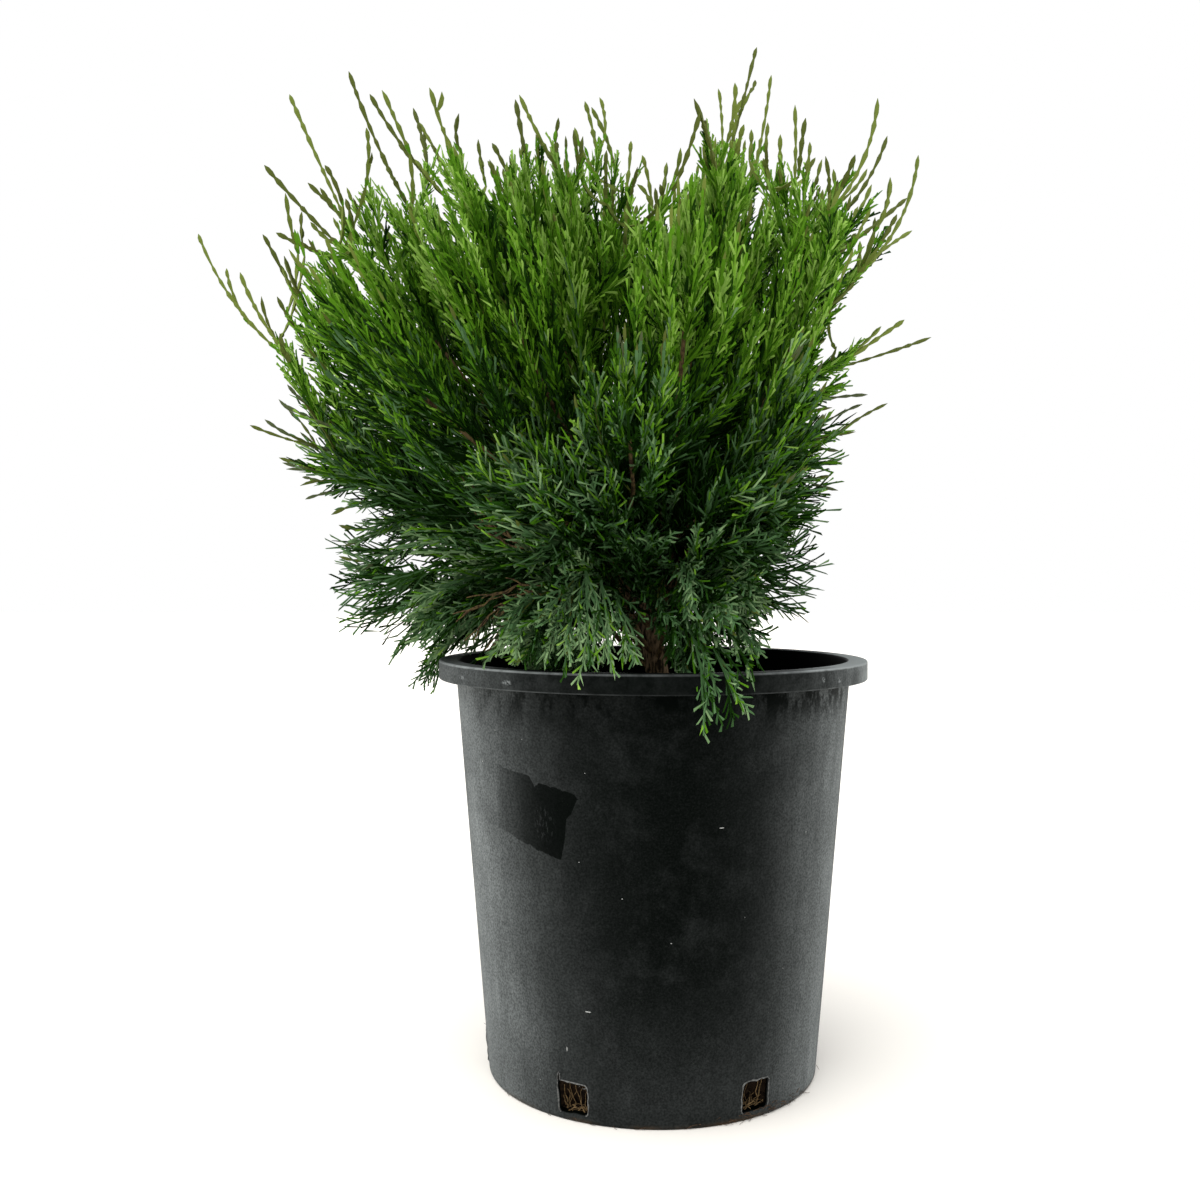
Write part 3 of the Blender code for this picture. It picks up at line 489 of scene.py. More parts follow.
class Sprigs:
    """Collects lines of points with a thickness at each, to be swept into twiglets, and
    short cords, each from its foot along its run."""

    def __init__(self):
        self.lines = {}
        self.dashes = {}

    def add(self, kind, points, radii):
        """points: (count, rings, 3); radii: (count, rings) or (rings,)."""
        radii = np.broadcast_to(radii, points.shape[:2])
        self.lines.setdefault((kind, points.shape[1]), []).append((points, radii))

    def add_toned(self, kinds, points, radii):
        """Deals lines out among the greens, by a kind for each line."""
        for kind in np.unique(kinds):
            self.add(GREENS[kind], points[kinds == kind], radii)

    def add_dashes(self, kinds, feet, runs, widths):
        """Deals dashes out among the greens, by a kind for each dash."""
        for kind in np.unique(kinds):
            own = kinds == kind
            self.dashes.setdefault(GREENS[kind], []).append((feet[own], runs[own], widths[own]))

    def dash_meshes(self, kind):
        """The dashes of a kind as meshes of loose points that hold their run and thickness."""
        if kind not in self.dashes:
            return []
        feet, runs, widths = (np.concatenate(part) for part in zip(*self.dashes[kind]))
        made = []
        for own in np.array_split(np.arange(len(feet)), math.ceil(len(feet) / DASHES_TO_A_PIECE)):
            mesh = bpy.data.meshes.new(f"{kind}_{len(made) + 1}")
            mesh.vertices.add(len(own))
            mesh.vertices.foreach_set("co", feet[own].astype(np.float32).ravel())
            layer = mesh.attributes.new("thickness", "FLOAT", "POINT")
            layer.data.foreach_set("value", widths[own].astype(np.float32))
            layer = mesh.attributes.new("run", "FLOAT_VECTOR", "POINT")
            layer.data.foreach_set("vector", runs[own].astype(np.float32).ravel())
            mesh.update()
            made.append(mesh)
        return made

    def meshes(self, kind):
        """The lines of a kind, shared out among meshes that stay small enough when swept."""
        batches, room = [[]], POINTS_TO_A_PIECE
        for (own, rings), parts in self.lines.items():
            if own != kind:
                continue
            for points, widths in parts:
                size = points.shape[0] * rings
                if size > room:
                    batches.append([])
                    room = POINTS_TO_A_PIECE
                batches[-1].append((points, widths))
                room -= size
        return [self.mesh(f"{kind}_{number + 1}", batch) for number, batch in enumerate(batches)]

    def mesh(self, name, batch):
        """Lines as one mesh of loose edges with a thickness attribute."""
        verts, radii, edges = [], [], []
        base = 0
        for points, widths in batch:
            count, rings = points.shape[:2]
            index = base + np.arange(count * rings).reshape(count, rings)
            edges.append(np.stack((index[:, :-1], index[:, 1:]), axis=-1).reshape(-1, 2))
            verts.append(points.reshape(-1, 3))
            radii.append(widths.reshape(-1))
            base += count * rings
        verts = np.concatenate(verts)
        radii = np.concatenate(radii)
        edges = np.concatenate(edges)
        mesh = bpy.data.meshes.new(name)
        mesh.vertices.add(len(verts))
        mesh.edges.add(len(edges))
        mesh.vertices.foreach_set("co", verts.astype(np.float32).ravel())
        mesh.edges.foreach_set("vertices", edges.astype(np.int32).ravel())
        layer = mesh.attributes.new("thickness", "FLOAT", "POINT")
        layer.data.foreach_set("value", radii.astype(np.float32))
        mesh.update()
        return mesh


def envelope(plume, points, pointed):
    """How far out the points lie, as a share of what the plume's reach allows there."""
    offset = points - HEART
    distance = np.linalg.norm(offset, axis=-1)
    toward = offset / np.maximum(distance, 1e-9)[..., None]
    cosine = np.clip(np.sum(toward * axis_direction(plume, distance), axis=-1), 0.05, 1.0)
    return distance / (plume.reach * cosine ** pointed)


def in_outline(points, share):
    """True where the points are within a share of the crown's outline seen from the front."""
    seen = (points - VIEW) / (points - VIEW)[..., 1:2] - (HEART - VIEW) / (HEART - VIEW)[1]
    across, upward = (seen[..., axis] * (HEART - VIEW)[1] for axis in (0, 2))
    angle = (np.degrees(np.arctan2(upward, across)) + 90.0) % 360.0 - 90.0
    return np.hypot(across, upward) < share * np.interp(angle, OUTLINE[:, 0], OUTLINE[:, 1])


def over_pot(points):
    """True where the points are clear of the pot's rim and wall and of the mix."""
    out = np.hypot(points[..., 0], points[..., 1])
    above = points[..., 2] > POT_HEIGHT + 0.0015
    outside = out > RIM_RADIUS + 0.0015
    inside = (out < WALL_TOP_RADIUS - WALL - 0.002) & (points[..., 2] > MIX_TOP + 0.004)
    return above | outside | inside


def grow_plume(plume, sprigs, rng, sizes):
    """One plume's shoots, twiglets and branchlets, by the source's rule carried finer."""
    tier, habit = plume.tier, HABITS[plume.tier.name]
    low = tier.bare if tier.bare else plume.first
    top = plume.reach - (0.030 if habit.leads else 0.010)
    stem = limb_line(plume, np.linspace(low, top, 40))
    while top > 0.6 * plume.reach and not in_outline(stem[-1], 0.97):
        top -= 0.005
        stem = limb_line(plume, np.linspace(low, top, 40))
    width = tier.radius * LIMB_TAPER if tier.bare else STEM_RADIUS
    sprigs.add("twig_bark", stem[None, :24], np.linspace(width, 0.0011, 24))
    sprigs.add("deep_green", stem[None, 23:], np.linspace(0.0011, 0.0006, 17))
    run = plume.reach - tier.bare
    count = int(round(run * sizes.shoots_per_metre * habit.crowd))
    shares = np.linspace(0.0 if tier.bare else 0.12, 0.97, count)
    shares = np.clip(shares + rng.uniform(-0.012, 0.012, count), 0.0, 0.985)
    base, ahead = lines_at(stem, shares)
    spins = np.arange(count) * GOLDEN_TURN + rng.uniform(0.0, 360.0) + rng.normal(0.0, 12.0, count)
    opening = np.radians(habit.opening + rng.normal(0.0, 5.0, count))[:, None]
    out = np.cos(opening) * ahead + np.sin(opening) * sides_of(ahead, spins)
    lengths = run * (habit.long + (habit.short - habit.long) * shares) * rng.uniform(0.75, 1.12, count)
    towards = unit(ahead + habit.lift * UP)
    most = rng.uniform(*habit.mass, count)
    rough = rng.uniform(*ROUGH_EDGE, count)
    plume_tone = habit.tone + rng.normal(0.0, 0.22)
    for index in range(count):
        for part in (1.0, 0.9, 0.8, 0.7, 0.6, 0.5, 0.4, 0.3):
            length = lengths[index] * part
            line = curved(base[index], out[index], towards[index], np.array(length), habit.bend, 8)
            reach = envelope(plume, line, habit.pointed)
            clear = over_pot(line[2:]).all() and in_outline(line, rough[index]).all()
            if reach.max() < most[index] and clear:
                break
        else:
            continue
        if length < 0.010:
            continue
        fresh = 2.0 if rng.random() < habit.fresh else 0.0
        tone = plume_tone + fresh + rng.normal(0.0, 0.55)
        grow_shoot(plume, habit, line, length, tone, sprigs, rng, sizes)
        if shares[index] > 0.10 and rng.random() < habit.leads:
            grow_leader(plume, line[-1], unit(line[-1] - line[-2]), rng.uniform(0.016, 0.036), sprigs, rng, sizes)
    grow_shoot(plume, habit, stem[-10:], 0.25 * run, plume_tone + 0.4, sprigs, rng, sizes)
    if habit.leads:
        grow_leader(plume, stem[-1], unit(stem[-1] - stem[-2]), 0.029, sprigs, rng, sizes)
    return stem


def allowed(plume, habit, lines, slack):
    """Which lines keep clear of the pot and, if they belong to a plume, within its space."""
    keep = over_pot(lines).all(axis=1)
    if plume is not None:
        keep &= envelope(plume, lines[:, -1], habit.pointed) < habit.mass[1] + slack
        keep &= in_outline(lines[:, -1], ROUGH_EDGE[1] + slack)
    return keep


def tone_at(plume, points):
    """How much lighter a branchlet is painted for where it stands: outer and higher ones get painted light, inner and
    lower ones painted shade.
    """
    if plume is None:
        return np.zeros(points.shape[:-1])
    offset = points - HEART
    outward = np.linalg.norm(offset, axis=-1) / plume.reach
    return 2.8 * (np.clip(outward, 0.0, 1.1) - 0.70) + 4.0 * np.clip(points[..., 2] - 0.42, -0.2, 0.2)


def kinds_for(habit, tones, points, rng):
    """The place among the greens for each tone, from the crown's row high up and from the
    lower fans' row low down."""
    share = 0.85 * smooth((GREY_BELOW - points[:, 2]) / GREY_OVER)
    grey = rng.random(len(tones)) < share
    tones = tones - 1.1 * share * ~grey
    places = np.clip(np.round(tones), 0, len(ROWS["high"]) - 1).astype(int)
    table = np.array([[GREENS.index(name) for name in ROWS[row]] for row in ("high", "low")])
    return table[grey.astype(int), places]


def grow_shoot(plume, habit, line, length, tone, sprigs, rng, sizes):
    """A shoot with twiglets to either side, each with blunt branchlets in its own plane."""
    thick = sizes.branchlet_radius * habit.slim
    rings = len(line)
    # The shoot's own line is painted darker than its twiglets: painted shade inside the spray
    own = tone - 1.2 + tone_at(plume, line[rings // 2])
    width = thick * np.linspace(1.35, 0.75, rings)
    if own > 0.5 and rng.random() < STRIPED:
        sprigs.add(LEADER_GREENS["low" if line[0, 2] < 0.38 else "high"][0], line[None], 0.85 * width)
    else:
        sprigs.add_toned(kinds_for(habit, np.array((own,)), line[:1], rng), line[None], width)
    count = max(3, int(round(length / (sizes.twiglet_gap * (1.0 if habit.fine > 4 else 1.12)))))
    shares = (np.arange(count) + rng.uniform(0.3, 0.9, count)) / (count + 0.4)
    base, ahead = lines_at(line, shares)
    spins = rng.uniform(0.0, 360.0) + 180.0 * (np.arange(count) % 2) + rng.normal(0.0, habit.scatter, count)
    opening = np.radians(habit.fan + rng.normal(0.0, 5.0, count))[:, None]
    out = np.cos(opening) * ahead + np.sin(opening) * sides_of(ahead, spins)
    ahead = unit(ahead + 0.4 * habit.lift * UP)
    lengths = np.clip(length * (0.66 - 0.40 * shares), 0.009, habit.twiglet)
    lengths = lengths * rng.uniform(0.65, 1.15, count)
    twigs = curved(base, out, ahead, lengths, 0.40, 3)
    # Twiglets are painted lighter towards the shoot's tip and further out and higher up: painted light and shade
    tones = tone + tone_at(plume, base) + 0.9 * (shares - 0.5) + rng.normal(0.0, 0.45, count)
    # About a quarter of the twiglets are painted darker: painted shade between the lit strands
    tones = tones - 2.2 * (rng.random(count) < 0.24)
    keep = allowed(plume, habit, twigs, 0.03)
    base, out, ahead, lengths, tones = (part[keep] for part in (base, out, ahead, lengths, tones))
    if not len(base):
        return
    # Twiglet lines are painted half a step darker than their branchlets: painted shade beneath them
    kinds = kinds_for(habit, tones - 0.5, base, rng)
    if habit.slim < 0.9:
        sprigs.add_toned(kinds, twigs[keep], thick * np.array((0.95, 0.90, 0.70)))
    else:
        sprigs.add_toned(kinds, twigs[keep][:, ::2], thick * np.array((0.90, 0.60)))
    shape = (len(base), habit.fine)
    along = (np.linspace(0.12, 0.92, habit.fine) + rng.uniform(-0.07, 0.07, shape))[..., None]
    bent = (ahead - out)[:, None]
    foot = base[:, None] + lengths[:, None, None] * (along * out[:, None] + 0.40 * along ** 2 * bent)
    onward = unit(out[:, None] + 0.80 * along * bent)
    opening = np.radians(habit.spread + rng.normal(0.0, 6.0, shape))[..., None]
    square = unit(np.cross(ahead, out))[:, None]
    sign = (1.0 - 2.0 * ((np.arange(habit.fine) + rng.integers(0, 2, (len(base), 1))) % 2))[..., None]
    play = habit.play * rng.normal(0.0, 1.0, shape)[..., None]
    aside = unit(sign * unit(np.cross(square, onward)) + play * square)
    reach = rng.uniform(*habit.dash, shape) * (1.15 - 0.35 * along[..., 0])
    run = reach[..., None] * (np.cos(opening) * onward + np.sin(opening) * aside)
    foot, run = foot.reshape(-1, 3), run.reshape(-1, 3)
    # Branchlets are painted half a step lighter than their twiglets: painted light on the outer layer
    tones = (tones[:, None] + 0.50 + rng.normal(0.0, 0.62, shape)).ravel()
    widths = thick * rng.uniform(1.02, 1.40, len(foot))
    keep = allowed(plume, habit, np.stack((foot, foot + run), axis=1), 0.05)
    kinds = kinds_for(habit, tones[keep], foot[keep], rng)
    sprigs.add_dashes(kinds, foot[keep], run[keep], widths[keep])


def joints_along(line, length, joint, rng):
    """Points and widths of joints along a line. Each starts thin, swells and narrows again,
    as the clasping scale leaves of a young branchlet do, and the last ends in a point."""
    joints = max(1, int(round(length / joint)))
    starts = np.arange(joints) + rng.uniform(-0.28, 0.28, joints) * (np.arange(joints) > 0)
    spans = np.diff(np.append(starts, joints))
    at = (starts[:, None] + spans[:, None] * np.array((0.0, 0.34, 0.68))).ravel()
    shares = (np.append(at, joints) / joints) ** 1.20
    swell = rng.uniform(0.76, 1.12, (joints, 1)) * np.array((0.84, 1.28, 1.70))
    swell[-1] = 0.84, 1.62, 1.42
    return lines_at(line, shares)[0], np.append(swell.ravel(), 0.12)


def grow_tip(line, length, thick, tone, leafy, sides, sprigs, rng):
    """A young tip: a jointed line, green at its foot, with jointed side tips close beside it."""
    points, radii = joints_along(line, length, 0.0082, rng)
    row = "low" if line[0, 2] < 0.40 else "high"
    olives, plain = LEADER_GREENS[row], LEADER_FEET[row]
    turned = int(leafy * len(points))
    if turned > 1:
        sprigs.add(plain, points[None, :turned + 1], thick * radii[:turned + 1])
    else:
        turned = 0
    sprigs.add(olives[int(rng.random() < tone)], points[None, turned:], thick * radii[turned:])
    spin = rng.uniform(0.0, 360.0)
    for share in np.arange(0.04, sides, 0.0090 / length):
        foot, along = (part[0] for part in lines_at(line, np.array((share + rng.uniform(0.0, 0.04),))))
        spin += 180.0 + rng.normal(0.0, 35.0)
        opening = math.radians(rng.normal(21.0, 4.0))
        aim = math.cos(opening) * along + math.sin(opening) * sides_of(along[None], np.array((spin,)))[0]
        span = float(np.clip((1.0 - share) * length * rng.uniform(0.30, 0.62), 0.006, 0.024))
        side = curved(foot, aim, unit(along + 0.2 * UP), np.array(span), 0.55, 12)
        if not over_pot(side).all() or not in_outline(side, 1.10).all():
            continue
        points, radii = joints_along(side, span, 0.0058, rng)
        green = plain if rng.random() < max(0.35, leafy) else olives[int(rng.random() < tone)]
        sprigs.add(green, points[None], 0.84 * thick * radii)


def grow_leader(plume, base, ahead, length, sprigs, rng, sizes):
    """A knobbly young tip that stands out of the mass."""
    thick = 0.94 * sizes.branchlet_radius * HABITS[plume.tier.name].slim
    for part in (1.0, 0.75, 0.5):
        line = curved(base, ahead, unit(ahead + 0.30 * UP), np.array(length * part), 0.5, 16)
        if envelope(plume, line, 3.0).max() < 1.0 and in_outline(line, 1.09).all() and over_pot(line).all():
            grow_tip(line, length * part, thick, 0.25, 0.75, 0.70, sprigs, rng)
            return


def through(points, rings):
    """A smooth line through three points."""
    along = np.linspace(0.0, 1.0, rings)[:, None]
    first, middle, last = points
    return (
        first * (1.0 - along) * (1.0 - 2.0 * along) + middle * 4.0 * along * (1.0 - along)
        + last * along * (2.0 * along - 1.0)
    )


def nearest(stems, point):
    return stems[np.argmin(np.linalg.norm(stems - point, axis=1))]


def root_behind(stems, foot, ahead):
    """The stem point that lies nearest to the foot and best in line behind it, and its place."""
    gaps = foot - stems
    far = np.maximum(np.linalg.norm(gaps, axis=1), 1e-6)
    askew = 1.0 - gaps @ ahead / far
    best = np.argmin(far * (1.0 + 5.0 * askew ** 1.5) + 0.02 * (askew > 0.5))
    return stems[best], best


def grow_named_leaders(stems, sprigs, rng, sizes):
    """The young tips that were measured, each grown on from the nearest stem."""
    inside = len(stems)
    for row in LEADERS:
        foot, middle, tip = np.array(row).reshape(3, 3)
        high = tip[2] > 0.43
        ahead, length = unit(middle - foot), np.linalg.norm(tip - foot)
        thick = sizes.branchlet_radius * rng.uniform(1.16, 1.46) * (1.0 if high else 0.74)
        root, own = root_behind(stems, foot, ahead)
        reach = np.linalg.norm(foot - root)
        inner = through((root, (root + foot) / 2 - 0.12 * reach * ahead, foot), 7)
        if own < inside:
            sprigs.add("mid_green" if high else "blue_green", inner[None], thick * np.linspace(0.8, 1.0, 7))
        else:
            points, radii = joints_along(inner, reach, 0.0082, rng)
            olives = LEADER_GREENS["high" if high else "low"]
            sprigs.add(olives[0], points[None], 0.9 * thick * np.maximum(radii, 0.8))
        line = through((foot, middle, tip), 24)
        grow_tip(line, length, thick, 0.50, 0.22, 0.55, sprigs, rng)
        stems = np.concatenate((stems, line[:20]))
        if reach > 0.010 and own < inside:
            habit = HABITS["upper" if high else "shoulder"]
            grow_shoot(None, habit, inner, max(reach, 0.026), habit.tone + 0.3, sprigs, rng, sizes)


def grow_named_sprays(stems, sprigs, rng, sizes):
    """The measured sprays: those that hang to the rim and over it, and those that fill gaps."""
    for *ends, tone in DROOPING + FILLING:
        foot, tip = np.array(ends[:3]), np.array(ends[3:])
        rise = (tip - foot)[2] / np.linalg.norm(tip - foot)
        habit = HABITS["hanging" if rise < -0.5 else ("middle" if tip[2] < 0.38 else "crown")]
        tip = foot + (DROOP_SHARE if rise < -0.5 else FILL_SHARE) * (tip - foot)
        root = nearest(stems, foot)
        inner = through((root, (root + foot) / 2 + 0.004 * UP, foot), 5)
        sprigs.add("deep_green", inner[None], sizes.branchlet_radius * 1.3)
        middle = (foot + tip) / 2 + 0.08 * np.linalg.norm(tip - foot) * (UP if rise < -0.5 else -UP)
        line = through((foot, middle, tip), 10)
        if not over_pot(line).all():
            line[:, 2] += 0.017 * np.sin(math.pi * np.linspace(0.0, 1.0, 10))
        grow_shoot(None, habit, line, np.linalg.norm(tip - foot), tone - 0.5, sprigs, rng, sizes)


def grow_bare_twigs(stems, sprigs, rng):
    """Brown twigs without leaves, each with short side twigs."""
    for row in BARE_TWIGS:
        foot, tip = np.array(row).reshape(2, 3)
        root = nearest(stems, foot)
        line = through((root, foot, tip), 12)
        line[1:-1] += rng.normal(0.0, 0.0011, (10, 3))
        sprigs.add("twig_bark", line[None], BARE_TWIG_RADIUS * np.linspace(1.5, 0.5, 12))
        base, ahead = lines_at(line, np.arange(0.45, 0.98, 0.09))
        spins = rng.uniform(0.0, 360.0, len(base))
        out = unit(ahead + 0.75 * sides_of(ahead, spins))
        sides = curved(base, out, ahead, rng.uniform(0.008, 0.020, len(base)), 0.5, 4)
        sprigs.add("twig_bark", sides[over_pot(sides).all(axis=1)], BARE_TWIG_RADIUS * np.linspace(0.8, 0.4, 4))


def grow_inner(plume, sprigs, rng, sizes):
    """Short dark sprays on the outer half of a bough, in the shade of the crown."""
    if not plume.tier.bare:
        return
    habit = HABITS["middle"]
    bough = limb_line(plume, np.linspace(plume.first, plume.tier.bare, 20))
    count = sizes.inner_sprays
    base, ahead = lines_at(bough, rng.uniform(0.35, 1.0, count))
    opening = np.radians(rng.uniform(38.0, 62.0, count))[:, None]
    out = np.cos(opening) * ahead + np.sin(opening) * sides_of(ahead, rng.uniform(0.0, 360.0, count))
    for foot, aim, on in zip(base, out, ahead):
        length = rng.uniform(0.035, 0.065)
        line = curved(foot, aim, on, np.array(length), 0.30, 6)
        if over_pot(line).all():
            grow_shoot(None, habit, line, length, rng.uniform(0.0, 1.6), sprigs, rng, sizes)


class Build:
    """Short ways to add and link nodes in one tree."""

    def __init__(self, tree):
        self.tree = tree

    def add(self, kind, inputs=None, **settings):
        node = self.tree.nodes.new(kind)
        for key, value in settings.items():
            setattr(node, key, value)
        for key, value in (inputs or {}).items():
            self.feed(node.inputs[key], value)
        return node

    def feed(self, socket, value):
        if isinstance(value, bpy.types.NodeSocket):
            self.tree.links.new(value, socket)
        else:
            socket.default_value = value

    def math(self, operation, first, second=0.0, third=0.0):
        node = self.tree.nodes.new("ShaderNodeMath")
        node.operation = operation
        for socket, value in zip(node.inputs, (first, second, third)):
            self.feed(socket, value)
        return node.outputs[0]

    def noise(self, place, scale, detail=4.0, roughness=0.5):
        inputs = {"Vector": place, "Scale": scale, "Detail": detail, "Roughness": roughness}
        return self.add("ShaderNodeTexNoise", inputs).outputs["Fac"]

    def between(self, value, low, high, least=0.0, most=1.0):
        """Least up to low, most from high on, and a smooth step between them."""
        node = self.add("ShaderNodeMapRange", interpolation_type="SMOOTHSTEP")
        for key, number in (
            ("Value", value), ("From Min", low), ("From Max", high), ("To Min", least), ("To Max", most)
        ):
            self.feed(node.inputs[key], number)
        return node.outputs["Result"]

    def blend(self, share, first, second):
        """A colour between two others."""
        node = self.add("ShaderNodeMix", data_type="RGBA")
        self.feed(node.inputs[0], share)
        for socket, value in ((node.inputs[6], first), (node.inputs[7], second)):
            self.feed(socket, value if isinstance(value, bpy.types.NodeSocket) else (*value, 1.0))
        return node.outputs[2]

    def bump(self, height, strength, distance, normal=None):
        inputs = {"Height": height, "Strength": strength, "Distance": distance}
        if normal is not None:
            inputs["Normal"] = normal
        return self.add("ShaderNodeBump", inputs).outputs["Normal"]


def plain_material(name, colour, roughness=0.6, specular=0.3):
    material = bpy.data.materials.new(name)
    material.use_nodes = True
    shader = material.node_tree.nodes["Principled BSDF"]
    shader.inputs["Base Color"].default_value = (*colour, 1.0)
    shader.inputs["Roughness"].default_value = roughness
    shader.inputs["Specular IOR Level"].default_value = specular
    return material


def grained_material(name, dark, light, scale, stretch=1.0, relief=0.0004, roughness=0.85):
    """A rough finish in two colours, with a grain that can run along Z."""
    material = plain_material(name, light, roughness, 0.08)
    build = Build(material.node_tree)
    shader = material.node_tree.nodes["Principled BSDF"]
    place = build.add("ShaderNodeTexCoord").outputs["Object"]
    run = build.add("ShaderNodeMapping", {"Vector": place, "Scale": (1.0, 1.0, stretch)}).outputs["Vector"]
    grain = build.noise(run, scale, 5.0, 0.6)
    patches = build.noise(place, scale * 0.12, 2.0)
    share = build.between(build.math("ADD", grain, build.math("MULTIPLY", patches, 0.4)), 0.58, 0.80)
    shader_colour = build.blend(share, dark, light)
    build.feed(shader.inputs["Base Color"], shader_colour)
    build.feed(shader.inputs["Normal"], build.bump(grain, 0.6, relief))
    return material


def pot_material(sizes):
    """Black plastic with a pale dusty coat and painted sheen to the left and right, a painted
    reflection on the left of the wall, painted highlights along the rim's edges, a bare patch
    where a label was peeled off, darker blotches under the rim and soil along the foot."""
    material = plain_material("dusty_black_plastic", sizes.plastic, 0.42, sizes.gloss)
    build = Build(material.node_tree)
    shader = material.node_tree.nodes["Principled BSDF"]
    place = build.add("ShaderNodeTexCoord").outputs["Object"]
    axes = build.add("ShaderNodeSeparateXYZ", {"Vector": place})
    x, y, z = (axes.outputs[name] for name in "XYZ")
    out = build.math("SQRT", build.math("ADD", build.math("MULTIPLY", x, x), build.math("MULTIPLY", y, y)))

    def facing(turn, power):
        """One where the wall faces the turn, falling off to nought a quarter turn away."""
        turn = math.radians(turn)
        dot = build.math("ADD", build.math("MULTIPLY", x, math.cos(turn)), build.math("MULTIPLY", y, math.sin(turn)))
        share = build.math("DIVIDE", dot, build.math("MAXIMUM", out, 0.01))
        return build.math("POWER", build.math("MAXIMUM", share, 0.0), power)

    cloud = build.noise(place, 30.0, 6.0, 0.6)
    run = build.add("ShaderNodeMapping", {"Vector": place, "Scale": (1.0, 1.0, 0.12)}).outputs["Vector"]
    streaks = build.noise(run, 110.0, 4.0, 0.6)
    speckle = build.noise(place, 900.0, 2.0)
    # A pale dusty coat with painted sheen where the wall turns away to the left and right, and a painted reflection in
    # a band on the left of the wall
    reflection_band = build.math("MULTIPLY", build.between(z, 0.005, 0.060), build.between(z, 0.190, 0.085))
    dust_and_sheen = build.math("MULTIPLY", facing(195.0, 8.0), 0.62)
    dust_and_sheen = build.math("ADD", dust_and_sheen, build.math("MULTIPLY", build.math("MULTIPLY", facing(216.0, 10.0), reflection_band), 0.064))
    dust_and_sheen = build.math("ADD", dust_and_sheen, build.math("MULTIPLY", facing(236.0, 7.0), 0.016))
    dust_and_sheen = build.math("ADD", dust_and_sheen, build.math("MULTIPLY", facing(322.0, 9.0), 0.050))
    dust_and_sheen = build.math("ADD", dust_and_sheen, build.math("MULTIPLY", facing(342.0, 11.0), 0.58))
    dust_and_sheen = build.math("ADD", dust_and_sheen, build.math("MULTIPLY", facing(90.0, 2.0), 0.22))
    dust_and_sheen = build.math("ADD", dust_and_sheen, build.between(z, 0.100, 0.0, 0.0, 0.050))
    dust_and_sheen = build.math("ADD", dust_and_sheen, build.between(build.noise(place, 1000.0, 2.0, 0.7), 0.38, 0.70, 0.0, 0.011))
    dust_and_sheen = build.math("ADD", dust_and_sheen, build.between(build.noise(place, 42.0, 6.0, 0.7), 0.44, 0.68, 0.0, 0.020))
    dust_and_sheen = build.math("MULTIPLY", dust_and_sheen, build.between(cloud, 0.28, 0.72, 0.84, 1.16))
    dust_and_sheen = build.math("MULTIPLY", dust_and_sheen, build.between(streaks, 0.25, 0.75, 0.86, 1.12))
    dust_and_sheen = build.math("MULTIPLY", dust_and_sheen, build.between(speckle, 0.28, 0.72, 0.62, 1.34))

    # The bare patch, between an upper and a lower edge over the distance along the wall
    turn = build.math("ARCTAN2", y, x)
    around = build.math("MULTIPLY", build.math("SUBTRACT", turn, math.radians(sizes.patch_turn - 360.0)), 0.109)
    fray = build.math("MULTIPLY", build.math("SUBTRACT", build.noise(place, 300.0, 3.0), 0.5), 0.0030)
    share = build.math("DIVIDE", build.math("ADD", around, sizes.patch_width / 2), sizes.patch_width)

    def edge_height(points):
        """Height of an edge of the patch, through points as shares of its width and length."""
        node = build.add("ShaderNodeFloatCurve", {"Value": share})
        curve = node.mapping.curves[0]
        for spot in points[1:-1]:
            curve.points.new(*spot)
        for own, spot in zip(curve.points, points):
            own.location = spot
            own.handle_type = "VECTOR"
        node.mapping.update()
        rise = build.math("MULTIPLY", build.math("SUBTRACT", node.outputs["Value"], 0.5), sizes.patch_length)
        return build.math("ADD", rise, sizes.patch_height)

    upper, lower = edge_height(PATCH_UPPER), edge_height(PATCH_LOWER)
    below = build.math("SUBTRACT", build.math("SUBTRACT", upper, z), fray)
    above = build.math("SUBTRACT", build.math("SUBTRACT", z, lower), fray)
    patch = build.between(build.math("MINIMUM", below, above), -0.0003, 0.0003)
    patch = build.math("MULTIPLY", patch, build.between(share, 0.02, 0.10))
    patch = build.math("MULTIPLY", patch, build.between(share, 1.0, 0.985))
    scraps = build.add("ShaderNodeMapping", {"Vector": place, "Scale": (1.0, 1.0, 0.45)}).outputs["Vector"]
    residue = build.math("MULTIPLY", patch, build.between(build.noise(scraps, 620.0, 3.0, 0.6), 0.53, 0.63))
    residue = build.math("MULTIPLY", residue, build.between(share, 0.50, 0.58))
    residue = build.math("MULTIPLY", residue, build.between(share, 0.78, 0.68))
    middle = sizes.patch_height - 0.004
    residue = build.math("MULTIPLY", residue, build.between(z, middle - 0.012, middle - 0.006))
    residue = build.math("MULTIPLY", residue, build.between(z, middle + 0.011, middle + 0.004))
    bared = build.math("MULTIPLY", patch, build.between(share, 0.0, 0.72, 0.30, 0.87))
    dust_and_sheen = build.math("MULTIPLY", dust_and_sheen, build.math("SUBTRACT", 1.0, bared))
    dust_and_sheen = build.math("ADD", dust_and_sheen, build.math("MULTIPLY", residue, 0.045))

    # Darker blotches under the rim, where the pale coat is thinned
    drawn_down = build.add("ShaderNodeMapping", {"Vector": place, "Scale": (1.0, 1.0, 0.55)}).outputs["Vector"]
    blotch = build.between(build.noise(drawn_down, 95.0, 6.0, 0.70), 0.42, 0.57)
    near_rim = build.math("MULTIPLY", build.between(z, 0.203, 0.2265), build.between(z, 0.2302, 0.2296))
    under_rim_dark = build.math("MULTIPLY", build.math("MULTIPLY", blotch, near_rim), facing(287.0, 0.5))
    dust_and_sheen = build.math("MULTIPLY", dust_and_sheen, build.math("SUBTRACT", 1.0, build.math("MULTIPLY", under_rim_dark, 0.93)))
